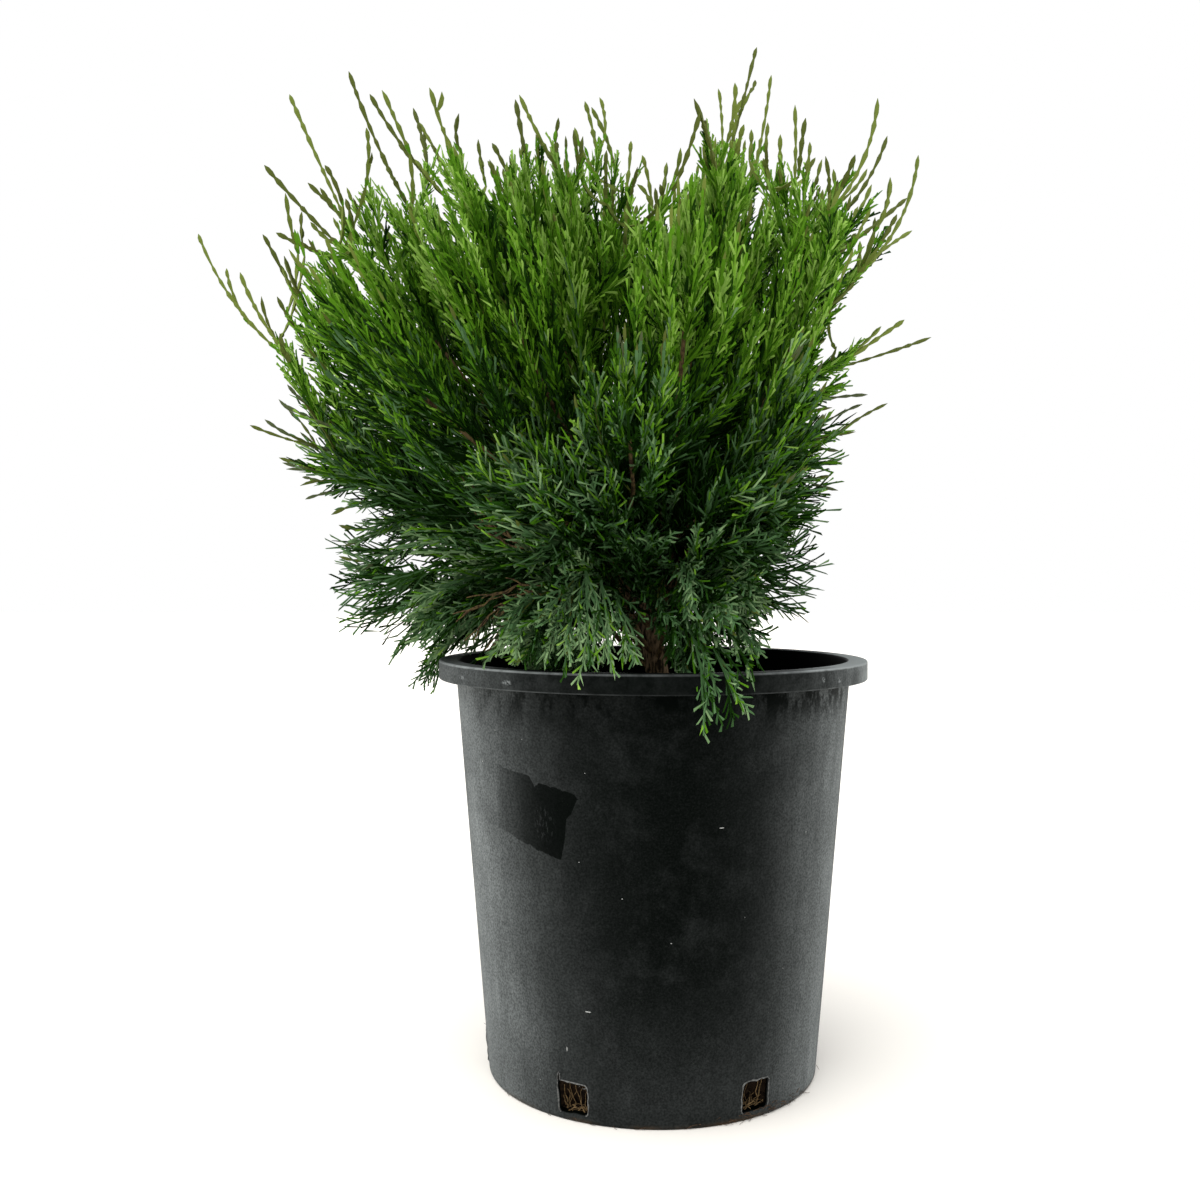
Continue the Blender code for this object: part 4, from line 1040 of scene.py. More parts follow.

    # The rim's band keeps a thin dusty coat, rubbed paler here and there, with painted sheen towards its left and right
    # ends
    band = build.between(z, 0.2290, 0.2296)
    film_and_sheen = build.between(build.noise(place, 110.0, 6.0, 0.75), 0.36, 0.70, 0.004, 0.085)
    # Most of this coat is painted sheen, gathered at the band's left and right ends and strongest at the right
    ends = build.math("ADD", facing(200.0, 3.0), build.math("MULTIPLY", facing(345.0, 5.0), 2.4))
    film_and_sheen = build.math("MULTIPLY", film_and_sheen, build.math("ADD", ends, 0.10))
    pale = build.math("MULTIPLY", facing(350.0, 40.0), build.between(cloud, 0.30, 0.60, 0.45, 1.10))
    film_and_sheen = build.math("ADD", film_and_sheen, pale)
    dust_and_sheen = build.math("ADD", build.math("MULTIPLY", dust_and_sheen, build.math("SUBTRACT", 1.0, build.math("MULTIPLY", band, 0.5))),
                      build.math("MULTIPLY", film_and_sheen, band))
    middle = build.math("MULTIPLY_ADD", z, WALL_SLOPE, BASE_RADIUS - WALL / 2)
    inside = build.between(build.math("SUBTRACT", out, middle), -0.0006, 0.0006, 1.0, 0.0)
    # Painted highlights along the rim's rounded upper and lower edges, and a dusty coat with painted sheen on the rim's
    # top face towards the right
    upper_edge = build.math("MULTIPLY", build.between(z, 0.2386, 0.2394), build.between(out, 0.1232, 0.1242))
    lower_edge = build.math("MULTIPLY", build.between(z, 0.2302, 0.2297), build.between(out, 0.1236, 0.1242))
    glint = build.math("ADD", build.math("MULTIPLY", upper_edge, 0.75), build.math("MULTIPLY", lower_edge, 0.22))
    glint = build.math("MULTIPLY", glint, build.math("ADD", facing(226.0, 5.0), facing(325.0, 6.0)))
    level = build.math("MULTIPLY", build.between(z, 0.2392, 0.2397), build.between(cloud, 0.30, 0.60, 0.45, 1.2))
    dust_and_sheen = build.math("ADD", dust_and_sheen, build.math("MULTIPLY", build.math("MULTIPLY", level, facing(352.0, 5.0)), 1.2))
    dust_and_sheen = build.math("ADD", dust_and_sheen, build.math("MULTIPLY", glint, build.between(streaks, 0.30, 0.60, 0.45, 1.0)))
    for spot, height, wide, high in SMUDGES:
        around = build.math("MULTIPLY", build.math("SUBTRACT", turn, math.radians(spot - 360.0)), RIM_RADIUS / wide)
        up = build.math("DIVIDE", build.math("SUBTRACT", z, height), high)
        near = build.math("ADD", build.math("MULTIPLY", around, around), build.math("MULTIPLY", up, up))
        rubbed = build.math("MULTIPLY", build.between(near, 1.0, 0.1), build.between(build.noise(place, 900.0, 3.0), 0.40, 0.60))
        dust_and_sheen = build.math("ADD", dust_and_sheen, build.math("MULTIPLY", rubbed, 0.50))
    dust_and_sheen = build.math("MULTIPLY", dust_and_sheen, build.math("SUBTRACT", 1.0, inside))

    colour = build.blend(dust_and_sheen, sizes.plastic, sizes.dust_and_sheen)
    soil = build.math("MULTIPLY", build.between(z, 0.0035, 0.0), build.between(cloud, 0.40, 0.60))
    colour = build.blend(build.math("MULTIPLY", soil, 0.8), colour, sizes.soil)
    build.feed(shader.inputs["Base Color"], colour)
    build.feed(shader.inputs["Roughness"], build.between(dust_and_sheen, 0.0, 0.35, 0.40, 0.62))
    normal = build.bump(speckle, 0.10, 0.0002)
    build.feed(shader.inputs["Normal"], build.bump(cloud, 0.05, 0.0010, normal))
    return material


def sweep_tree(material):
    """Sweeps loose edges with a many-sided outline, as thick as their thickness says."""
    tree = bpy.data.node_groups.new("sweep_" + material.name, "GeometryNodeTree")
    tree.interface.new_socket("Geometry", in_out="INPUT", socket_type="NodeSocketGeometry")
    sides = tree.interface.new_socket("Sides", in_out="INPUT", socket_type="NodeSocketInt")
    sides.default_value = 3
    tree.interface.new_socket("Geometry", in_out="OUTPUT", socket_type="NodeSocketGeometry")
    build = Build(tree)
    start = build.add("NodeGroupInput")
    width = build.add("GeometryNodeInputNamedAttribute", {"Name": "thickness"}, data_type="FLOAT")
    curve = build.add("GeometryNodeMeshToCurve", {"Mesh": start.outputs["Geometry"]})
    radius = build.add(
        "GeometryNodeSetCurveRadius",
        {"Curve": curve.outputs["Curve"], "Radius": width.outputs["Attribute"]},
    )
    outline = build.add(
        "GeometryNodeCurvePrimitiveCircle", {"Resolution": start.outputs["Sides"], "Radius": 1.0}
    )
    swept = build.add(
        "GeometryNodeCurveToMesh",
        {
            "Curve": radius.outputs["Curve"],
            "Profile Curve": outline.outputs["Curve"],
            "Fill Caps": True,
        },
    )
    if "Scale" in swept.inputs:
        build.feed(swept.inputs["Scale"], width.outputs["Attribute"])
    real = build.add("GeometryNodeRealizeInstances", {"Geometry": swept.outputs["Mesh"]})
    dressed = build.add(
        "GeometryNodeSetMaterial", {"Geometry": real.outputs["Geometry"], "Material": material}
    )
    end = build.add("NodeGroupOutput")
    build.feed(end.inputs["Geometry"], dressed.outputs["Geometry"])
    return tree, {"Sides": sides.identifier}


def dash_tree(material):
    """Stands a blunt cord on each point, along its run and as thick as its thickness says.

    A three-sided cone is drawn out: two corners of its base stay as a short edge at the foot,
    the third goes up to make a second edge with the tip, square to the first, so the cord is
    blunt at both ends and still has four faces. Each is turned about its run by chance."""
    tree = bpy.data.node_groups.new("dashes_" + material.name, "GeometryNodeTree")
    tree.interface.new_socket("Geometry", in_out="INPUT", socket_type="NodeSocketGeometry")
    sides = tree.interface.new_socket("Sides", in_out="INPUT", socket_type="NodeSocketInt")
    sides.default_value = 3
    tree.interface.new_socket("Geometry", in_out="OUTPUT", socket_type="NodeSocketGeometry")
    build = Build(tree)
    start = build.add("NodeGroupInput")
    width = build.add("GeometryNodeInputNamedAttribute", {"Name": "thickness"}, data_type="FLOAT")
    run = build.add("GeometryNodeInputNamedAttribute", {"Name": "run"}, data_type="FLOAT_VECTOR")
    length = build.add("ShaderNodeVectorMath", operation="LENGTH")
    build.feed(length.inputs[0], run.outputs["Attribute"])
    wide = width.outputs["Attribute"]
    size = build.add("ShaderNodeCombineXYZ", {"X": wide, "Y": wide, "Z": length.outputs["Value"]})
    aim = build.add("FunctionNodeAlignRotationToVector", {"Vector": run.outputs["Attribute"]}, axis="Z")
    cone = build.add(
        "GeometryNodeMeshCone",
        {"Vertices": start.outputs["Sides"], "Radius Top": 0.0, "Radius Bottom": 1.0, "Depth": 1.0},
    )
    corners = build.add("ShaderNodeSeparateXYZ", {"Vector": build.add("GeometryNodeInputPosition").outputs["Position"]})
    low = build.math("LESS_THAN", corners.outputs["X"], -0.1)
    high = build.math("GREATER_THAN", corners.outputs["X"], 0.5)
    tip = build.math("SUBTRACT", 1.0, build.math("ADD", low, high))
    aside = build.math("MULTIPLY_ADD", low, 0.5, build.math("MULTIPLY", high, -0.2))
    aside = build.math("MULTIPLY_ADD", tip, -0.8, aside)
    shift = build.add("ShaderNodeCombineXYZ", {"X": aside, "Z": build.math("MULTIPLY", high, 0.90)})
    cord = build.add(
        "GeometryNodeSetPosition", {"Geometry": cone.outputs["Mesh"], "Offset": shift.outputs["Vector"]}
    )
    chance = build.add("FunctionNodeRandomValue", data_type="FLOAT")
    build.feed(chance.inputs[2], 0.0)
    build.feed(chance.inputs[3], math.tau)
    spin = build.add(
        "FunctionNodeAxisAngleToRotation", {"Axis": (0.0, 0.0, 1.0), "Angle": chance.outputs[1]}
    )
    aim = build.add(
        "FunctionNodeRotateRotation",
        {"Rotation": aim.outputs["Rotation"], "Rotate By": spin.outputs["Rotation"]},
        rotation_space="LOCAL",
    )
    laid = build.add(
        "GeometryNodeInstanceOnPoints",
        {
            "Points": start.outputs["Geometry"],
            "Instance": cord.outputs["Geometry"],
            "Rotation": aim.outputs["Rotation"],
            "Scale": size.outputs["Vector"],
        },
    )
    real = build.add("GeometryNodeRealizeInstances", {"Geometry": laid.outputs["Instances"]})
    dressed = build.add(
        "GeometryNodeSetMaterial", {"Geometry": real.outputs["Geometry"], "Material": material}
    )
    end = build.add("NodeGroupOutput")
    build.feed(end.inputs["Geometry"], dressed.outputs["Geometry"])
    return tree, {"Sides": sides.identifier}


def crumb_tree(material):
    """Scatters small turned lumps over the level faces of a surface."""
    tree = bpy.data.node_groups.new("crumbs_" + material.name, "GeometryNodeTree")
    tree.interface.new_socket("Geometry", in_out="INPUT", socket_type="NodeSocketGeometry")
    sockets = {}
    for name, kind, value in (
        ("Density", "NodeSocketFloat", 30000.0), ("Least Size", "NodeSocketVector", (0.0006,) * 3),
        ("Most Size", "NodeSocketVector", (0.0024,) * 3), ("Lowest", "NodeSocketFloat", 0.2),
        ("Widest", "NodeSocketFloat", 0.1), ("Seed", "NodeSocketInt", 1),
    ):
        socket = tree.interface.new_socket(name, in_out="INPUT", socket_type=kind)
        socket.default_value = value
        sockets[name] = socket.identifier
    tree.interface.new_socket("Geometry", in_out="OUTPUT", socket_type="NodeSocketGeometry")
    build = Build(tree)
    start = build.add("NodeGroupInput")
    place = build.add("GeometryNodeInputPosition").outputs["Position"]
    axes = build.add("ShaderNodeSeparateXYZ", {"Vector": place})
    level = build.math("GREATER_THAN", axes.outputs["Z"], start.outputs["Lowest"])
    flat = build.add("ShaderNodeCombineXYZ", {"X": axes.outputs["X"], "Y": axes.outputs["Y"]})
    out = build.add("ShaderNodeVectorMath", operation="LENGTH")
    build.feed(out.inputs[0], flat.outputs["Vector"])
    near = build.math("LESS_THAN", out.outputs["Value"], start.outputs["Widest"])
    points = build.add(
        "GeometryNodeDistributePointsOnFaces",
        {
            "Mesh": start.outputs["Geometry"],
            "Selection": build.math("MULTIPLY", level, near),
            "Density": start.outputs["Density"],
            "Seed": start.outputs["Seed"],
        },
    )
    lump = build.add("GeometryNodeMeshIcoSphere", {"Radius": 1.0, "Subdivisions": 1})
    turn = build.add("FunctionNodeRandomValue", data_type="FLOAT_VECTOR")
    build.feed(turn.inputs[0], (0.0, 0.0, 0.0))
    build.feed(turn.inputs[1], (math.tau, math.tau, math.tau))
    spin = build.add("FunctionNodeEulerToRotation", {"Euler": turn.outputs[0]})
    size = build.add("FunctionNodeRandomValue", data_type="FLOAT_VECTOR")
    build.feed(size.inputs[0], start.outputs["Least Size"])
    build.feed(size.inputs[1], start.outputs["Most Size"])
    build.feed(size.inputs["Seed"], 7)
    laid = build.add(
        "GeometryNodeInstanceOnPoints",
        {
            "Points": points.outputs["Points"],
            "Instance": lump.outputs["Mesh"],
            "Rotation": spin.outputs["Rotation"],
            "Scale": size.outputs[0],
        },
    )
    real = build.add("GeometryNodeRealizeInstances", {"Geometry": laid.outputs["Instances"]})
    dressed = build.add(
        "GeometryNodeSetMaterial", {"Geometry": real.outputs["Geometry"], "Material": material}
    )
    end = build.add("NodeGroupOutput")
    build.feed(end.inputs["Geometry"], dressed.outputs["Geometry"])
    return tree, sockets


def new_object(name, mesh):
    item = bpy.data.objects.new(name, mesh)
    bpy.context.scene.collection.objects.link(item)
    return item


def made_plain(item):
    """Replaces an object's mesh by what its modifiers make of it."""
    graph = bpy.context.evaluated_depsgraph_get()
    mesh = bpy.data.meshes.new_from_object(item.evaluated_get(graph), depsgraph=graph)
    item.modifiers.clear()
    item.data = mesh
    for name in [layer.name for layer in mesh.attributes if layer.name in ("thickness", "run")]:
        mesh.attributes.remove(mesh.attributes[name])
    return item


def shaped(name, mesh, tree, sockets, values, smooth_faces=True):
    """An object made by a node tree from a mesh, with the tree's inputs set."""
    item = new_object(name, mesh)
    modifier = item.modifiers.new("shape", "NODES")
    modifier.node_group = tree
    for key, value in values.items():
        modifier[sockets[key]] = value
    made_plain(item)
    faces = item.data.polygons
    faces.foreach_set("use_smooth", np.full(len(faces), smooth_faces))
    return item


def swept(name, mesh, material, sides, smooth_faces=True):
    tree, sockets = sweep_tree(material)
    return shaped(name, mesh, tree, sockets, {"Sides": sides}, smooth_faces)


def dashed(name, mesh, material):
    tree, sockets = dash_tree(material)
    return shaped(name, mesh, tree, sockets, {"Sides": 3}, False)


def give(item, slot, *nodes):
    """Hands a finished piece to the frame."""
    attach(item, "root")
    if nodes:
        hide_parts(*nodes)
    return item


def bark_tube(points, radii, sides, spacing, seed):
    """A tube with lengthwise bark ridges and shallow knots, as vertices and faces."""
    run = np.concatenate(((0.0,), np.cumsum(np.linalg.norm(np.diff(points, axis=0), axis=1))))
    rings = max(4, int(run[-1] / spacing))
    at = np.linspace(0.0, run[-1], rings)
    line = np.stack([np.interp(at, run, points[:, axis]) for axis in range(3)], axis=1)
    width = np.interp(at, run, radii)
    ahead = unit(np.gradient(line, axis=0))
    side = unit(np.cross(ahead[0], np.array((0.31, 0.77, 0.55))))
    verts = []
    for ring in range(rings):
        side = unit(side - np.dot(side, ahead[ring]) * ahead[ring])
        over = np.cross(ahead[ring], side)
        for number in range(sides):
            angle = 2.0 * math.pi * number / sides
            out = math.cos(angle) * side + math.sin(angle) * over
            spot = Vector(out * 2.4 + np.array((0.0, 0.0, at[ring] * 90.0)))
            ridge = noise.noise(Vector((spot.x, spot.y, spot.z * 0.45 + seed)))
            grain = noise.noise(Vector((spot.x * 3.1, spot.y * 3.1, spot.z * 0.9 + seed)))
            depth = 1.0 + 0.13 * ridge + 0.09 * grain
            verts.append(line[ring] + out * width[ring] * depth)
    faces = []
    for ring in range(rings - 1):
        for number in range(sides):
            after = (number + 1) % sides
            a, b = ring * sides + number, ring * sides + after
            faces.append((a, b, b + sides, a + sides))
    faces.append(tuple(range(sides - 1, -1, -1)))
    faces.append(tuple(range((rings - 1) * sides, rings * sides)))
    return verts, faces


def wall_radius(height):
    return BASE_RADIUS + WALL_SLOPE * height


def round_corner(corner, back, on, size):
    """Points of a small round that replaces a corner of a profile."""
    corner, back, on = np.array(corner), np.array(back, float), np.array(on, float)
    points = []
    for angle in np.radians((0.0, 30.0, 60.0, 90.0)):
        centre = corner + size * (back + on)
        points.append(tuple(centre - size * (on * math.cos(angle) + back * math.sin(angle))))
    return points


def pot_profile(sizes):
    """Half of the pot's section: up the inside from the axis, over the rim, down the outside."""
    under = POT_HEIGHT - sizes.rim_plate
    lip = RIM_RADIUS - sizes.lip_wall
    low = POT_HEIGHT - RIM_BAND
    inner_floor = wall_radius(FLOOR) - WALL
    profile = [(0.0, FLOOR), (inner_floor - 0.004, FLOOR), (inner_floor, FLOOR + 0.003)]
    for share in (0.25, 0.5, 0.75):
        height = FLOOR + (POT_HEIGHT - FLOOR) * share
        profile.append((wall_radius(height) - WALL, height))
    profile += round_corner((wall_radius(POT_HEIGHT) - WALL, POT_HEIGHT), (0, -1), (1, 0), 0.0010)
    profile += round_corner((RIM_RADIUS, POT_HEIGHT), (-1, 0), (0, -1), 0.0010)
    profile += round_corner((RIM_RADIUS, low), (0, 1), (-1, 0), 0.0006)
    profile += round_corner((lip, low), (1, 0), (0, 1), 0.0004)
    profile += [(lip, under), (wall_radius(under), under)]
    for share in (0.75, 0.5, 0.25):
        profile.append((wall_radius(under * share), under * share))
    profile += round_corner((BASE_RADIUS, 0.0), (0, 1), (-1, 0), 0.0016)
    profile += [(BASE_RADIUS - 0.02, 0.0), (0.0, 0.0)]
    return profile


def spun(profile, steps):
    """A closed mesh of a profile turned about Z."""
    work = bmesh.new()
    verts = [work.verts.new((radius, 0.0, height)) for radius, height in profile]
    edges = [work.edges.new(pair) for pair in zip(verts, verts[1:])]
    bmesh.ops.spin(
        work, geom=verts + edges, cent=(0, 0, 0), axis=(0, 0, 1), angle=math.tau,
        steps=steps, use_merge=True, use_duplicate=False,
    )
    bmesh.ops.remove_doubles(work, verts=work.verts, dist=1e-6)
    bmesh.ops.recalc_face_normals(work, faces=work.faces)
    return work


def mesh_from(work, name):
    mesh = bpy.data.meshes.new(name)
    work.to_mesh(mesh)
    work.free()
    return mesh


def drain_outline(index, steps):
    """Points round one drain hole as (distance along the wall, height): an oblong with a
    ragged edge, and a slit torn at one upper corner."""
    rng = np.random.default_rng(60 + index)
    half, low, high = DRAIN_WIDTH / 2, DRAIN_LOW, DRAIN_HIGH
    round_off = 0.0016
    corners = ((-half, low), (half, low), (half, high), (-half, high))
    points = []
    for number, (along, height) in enumerate(corners):
        after = corners[(number + 1) % 4]
        start, end = np.array((along, height)), np.array(after)
        on = (end - start) / np.linalg.norm(end - start)
        start, end = start + on * round_off, end - on * round_off
        inward = np.array((-on[1], on[0]))
        for share in np.linspace(0.0, 1.0, steps):
            points.append(start + (end - start) * share + inward * rng.uniform(-0.00015, 0.00055))
        if number == 2 and index % 3 == 0:
            points.extend(end + np.array(spot) for spot in TORN_SLIT)
    return np.array(points)


def drain_cutters():
    """Ragged oblong bars through the wall at the foot of the pot, as vertices and faces."""
    verts, faces = [], []
    for index in range(DRAIN_HOLES):
        turn = math.radians(DRAIN_TURN + 360.0 * index / DRAIN_HOLES)
        out = np.array((math.cos(turn), math.sin(turn), 0.0))
        along = np.array((-math.sin(turn), math.cos(turn), 0.0))
        outline = drain_outline(index, 7)
        size, base = len(outline), len(verts)
        for radius in (BASE_RADIUS - 0.015, BASE_RADIUS + 0.015):
            for across, height in outline:
                verts.append(tuple(out * radius + along * across + UP * height))
        faces.append(tuple(base + number for number in reversed(range(size))))
        faces.append(tuple(base + size + number for number in range(size)))
        for number in range(size):
            after = (number + 1) % size
            faces.append((base + number, base + after, base + size + after, base + size + number))
    return verts, faces


def on_wall(turn, height, off=0.0):
    """A point on the pot's outer wall, or off it by a distance."""
    radius = wall_radius(height) + off
    return np.array((radius * math.cos(turn), radius * math.sin(turn), height))


def drain_burrs(sprigs, sizes):
    """The pale ragged lip that was left round each drain hole when it was punched."""
    rng = np.random.default_rng(17)
    for index in range(DRAIN_HOLES):
        turn = math.radians(DRAIN_TURN + 360.0 * index / DRAIN_HOLES)
        outline = drain_outline(index, 7)
        outline = np.concatenate((outline, outline[:1]))
        line = np.array([
            on_wall(turn + across / wall_radius(height), height, rng.uniform(-0.0002, 0.0001))
            for across, height in outline
        ])
        wide = sizes.burr * rng.uniform(0.35, 1.15, len(line))
        sprigs.add("burr", line[None, 6:], wide[6:])
        for _ in range(3):
            spot = int(rng.integers(8, len(line)))
            tip = line[spot] + rng.normal(0.0, 0.0016, 3) * np.array((1.0, 1.0, 0.8))
            middle = (line[spot] + tip) / 2 + rng.normal(0.0, 0.0004, 3)
            sprigs.add("burr", np.array((line[spot], middle, tip))[None], sizes.burr * np.array((0.5, 0.35, 0.15)))


def drain_roots(sprigs, sizes):
    """Pale roots that arch behind each drain hole, and stray fibres at its foot."""
    rng = np.random.default_rng(29)
    along = np.linspace(0.0, 1.0, 12)
    for index in range(DRAIN_HOLES):
        turn = math.radians(DRAIN_TURN + 360.0 * index / DRAIN_HOLES)
        for number in range(22):
            flat = number >= 12
            first = rng.uniform(-0.0085, 0.0085)
            last = first + (rng.uniform(0.004, 0.013) if flat else rng.uniform(-0.003, 0.003))
            low = rng.uniform(DRAIN_LOW - 0.001, DRAIN_LOW + 0.0025)
            high = low + rng.uniform(0.0, 0.003) if flat else rng.uniform(0.007, 0.0225)
            waves = rng.uniform(0.0, math.tau, 2)
            bow = 0.0011 * np.sin(5.0 * along + waves[0]) + 0.0005 * np.sin(11.0 * along + waves[1])
            across = np.clip(first + (last - first) * along + bow, -0.0089, 0.0089)
            height = low + (high - low) * along + (0.0016 * np.sin(math.pi * along) if flat else 0.0)
            off = -WALL - 0.0006 - rng.uniform(0.0, 0.0050)
            line = np.array([
                on_wall(turn + a / wall_radius(h), h, off) for a, h in zip(across, height)
            ])
            wide = sizes.root_radius * (rng.uniform(0.9, 1.3) if number in (0, 1, 12) else rng.uniform(0.30, 0.62))
            sprigs.add("root", line[None], wide * np.linspace(1.0, 0.55, len(along)))


def foot_fibres(sprigs, sizes):
    """Fine fibres and dirt that cling along the foot of the pot, most of all at the right."""
    rng = np.random.default_rng(31)
    steps = np.linspace(0.0, 1.0, 5)
    for number in range(70):
        turn = math.radians(rng.normal(306.0, 13.0) if number < 40 else rng.uniform(0.0, 360.0))
        height = rng.uniform(0.0006, 0.0060 if number < 40 else 0.0022)
        start = on_wall(turn, height, rng.uniform(0.0002, 0.0005))
        reach = rng.uniform(0.002, 0.006)
        aim = heading(math.degrees(turn) + rng.choice((-1, 1)) * rng.uniform(60.0, 95.0), rng.uniform(-25.0, 30.0))
        line = start + reach * steps[:, None] * aim
        line[:, 2] = np.maximum(line[:, 2] - 0.001 * steps ** 2, 0.0005)
        out = np.hypot(line[:, 0], line[:, 1])
        least = wall_radius(line[:, 2]) + 0.0003
        line[:, :2] *= (np.maximum(out, least) / out)[:, None]
        sprigs.add("fibre", line[None], sizes.root_radius * 0.40 * np.linspace(1.0, 0.5, 5))


def specks():
    """The pale specks on the wall: turn, height, half width and half height."""
    rng = np.random.default_rng(43)
    found = [(286.8, 0.1599, 0.0015, 0.00035), (248.6, 0.0616, 0.0019, 0.0004), (241.1, 0.0394, 0.0004, 0.0014)]
    for _ in range(60):
        size = rng.uniform(0.00012, 0.00030)
        found.append((rng.uniform(0.0, 360.0), rng.uniform(0.01, 0.22), size * rng.uniform(0.8, 1.8), size))
    return found


def lumps_mesh(name, spots):
    """Small flattened lumps at (point, outward, half width, half height), as one mesh."""
    work = bmesh.new()
    for point, outward, wide, high in spots:
        made = bmesh.ops.create_icosphere(work, subdivisions=1, radius=1.0)["verts"]
        side = unit(np.cross(outward, UP + 1e-6))
        over = np.cross(outward, side)
        for vert in made:
            a, b, c = vert.co
            vert.co = Vector(point + wide * a * side + high * b * over + 0.35 * min(wide, high) * c * outward)
    return mesh_from(work, name)


def mix_surface(sizes):
    """The potting mix: a rough top, and hollows behind the drain holes."""
    inset = WALL + 2 * CLEAR
    low = FLOOR + CLEAR
    profile = [(radius, MIX_TOP + MIX_DOME * (1 - (radius / 0.11) ** 2)) for radius in
               np.linspace(0.0, wall_radius(MIX_TOP) - inset, 34)]
    heights = np.concatenate((np.linspace(MIX_TOP, 0.030, 16)[1:], np.linspace(0.028, low, 18)))
    profile += [(wall_radius(height) - inset, height) for height in heights]
    profile.append((0.0, low))
    work = spun(profile, 180)
    for vert in work.verts:
        out = math.hypot(vert.co.x, vert.co.y)
        if vert.co.z > MIX_TOP - 0.001:
            if out < 0.108:
                vert.co.z += sizes.roughness * (noise.noise(vert.co * 160.0) - 0.6)
            continue
        if out < 0.08 or vert.co.z < low + 0.0002:
            continue
        turn = math.degrees(math.atan2(vert.co.y, vert.co.x)) - DRAIN_TURN
        spacing = 360.0 / DRAIN_HOLES
        away = abs((turn + spacing / 2) % spacing - spacing / 2)
        near = (1.0 - smooth((away - 4.5) / 2.5)) * (1.0 - smooth((vert.co.z - 0.021) / 0.004))
        share = 1.0 - near * (sizes.hollow + 0.0018 * noise.noise(vert.co * 420.0)) / out
        vert.co.x *= share
        vert.co.y *= share
    return mesh_from(work, "potting_mix_surface")


def length_of(name, description, default):
    return bpy.props.FloatProperty(
        name=name, description=description, default=default, unit="LENGTH", precision=5, min=0.0
    )


def number_of(name, description, default):
    return bpy.props.FloatProperty(name=name, description=description, default=default)


def colour_of(name, description, default):
    return bpy.props.FloatVectorProperty(
        name=name, description=description, default=default, subtype="COLOR", size=3, min=0.0, max=1.0
    )


class JuniperPotSettings(bpy.types.PropertyGroup):
    """Sizes and colours of the pot."""

    rim_plate: length_of("Rim plate", "Thickness of the level plate of the rim", 0.0028)
    lip_wall: length_of("Lip wall", "Thickness of the band that hangs from the rim", 0.0022)
    burr: length_of("Burr", "Half the width of the ragged lip round a drain hole", 0.00052)
    patch_turn: number_of("Patch turn", "Degrees from +X to the bare patch of a peeled label", 232.4)
    patch_height: length_of("Patch height", "Height of the middle of the bare patch", 0.1645)
    patch_width: length_of("Patch width", "Size of the bare patch along the wall", 0.0600)
    patch_length: length_of("Patch length", "Size of the bare patch up the wall", 0.0490)
    gloss: number_of("Gloss", "Strength of the plastic's shine", 0.005)
    plastic: colour_of("Plastic", "The black plastic", (0.0010, 0.0017, 0.0013))
    # The pale colour of the dusty coat, also used for the painted sheen and highlights on the plastic
    dust_and_sheen: colour_of("Dust and sheen", "The pale dust on the plastic", (0.248, 0.270, 0.274))
    soil: colour_of("Soil", "The dried soil along the foot", (0.060, 0.042, 0.026))
    worn: colour_of("Worn edge", "The torn lip round each drain hole", (0.160, 0.164, 0.160))
    speck: colour_of("Speck", "The pale specks", (0.420, 0.430, 0.420))


class JuniperMixSettings(bpy.types.PropertyGroup):
    """Sizes and colours of the potting mix and what is in it."""

    roughness: length_of("Roughness", "Height of the lumps in the surface", 0.0018)
    hollow: length_of("Hollow", "Depth of the mix behind each drain hole", 0.0080)
    crumb: length_of("Crumb", "Half the size of the largest crumbs", 0.0021)
    root_radius: length_of("Root radius", "Half the thickness of a fine root", 0.00042)
    dark: colour_of("Damp mix", "The damp potting mix", (0.006, 0.004, 0.003))
    light: colour_of("Dry mix", "The drier potting mix", (0.024, 0.015, 0.009))
    chip: colour_of("Chips", "The bark chips", (0.105, 0.062, 0.036))
    root: colour_of("Roots", "The fine roots", (0.225, 0.150, 0.072))


class JuniperWoodSettings(bpy.types.PropertyGroup):
    """Sizes and colours of the bark."""

    ring_gap: length_of("Ring gap", "Distance between the rings of the bark's relief", 0.0012)
    groove: colour_of("Grooves", "The bark's grooves", (0.015, 0.011, 0.005))
    ridge: colour_of("Ridges", "The bark's ridges", (0.185, 0.130, 0.074))
    twig: colour_of("Twigs", "The young wood of the stems", (0.130, 0.092, 0.040))


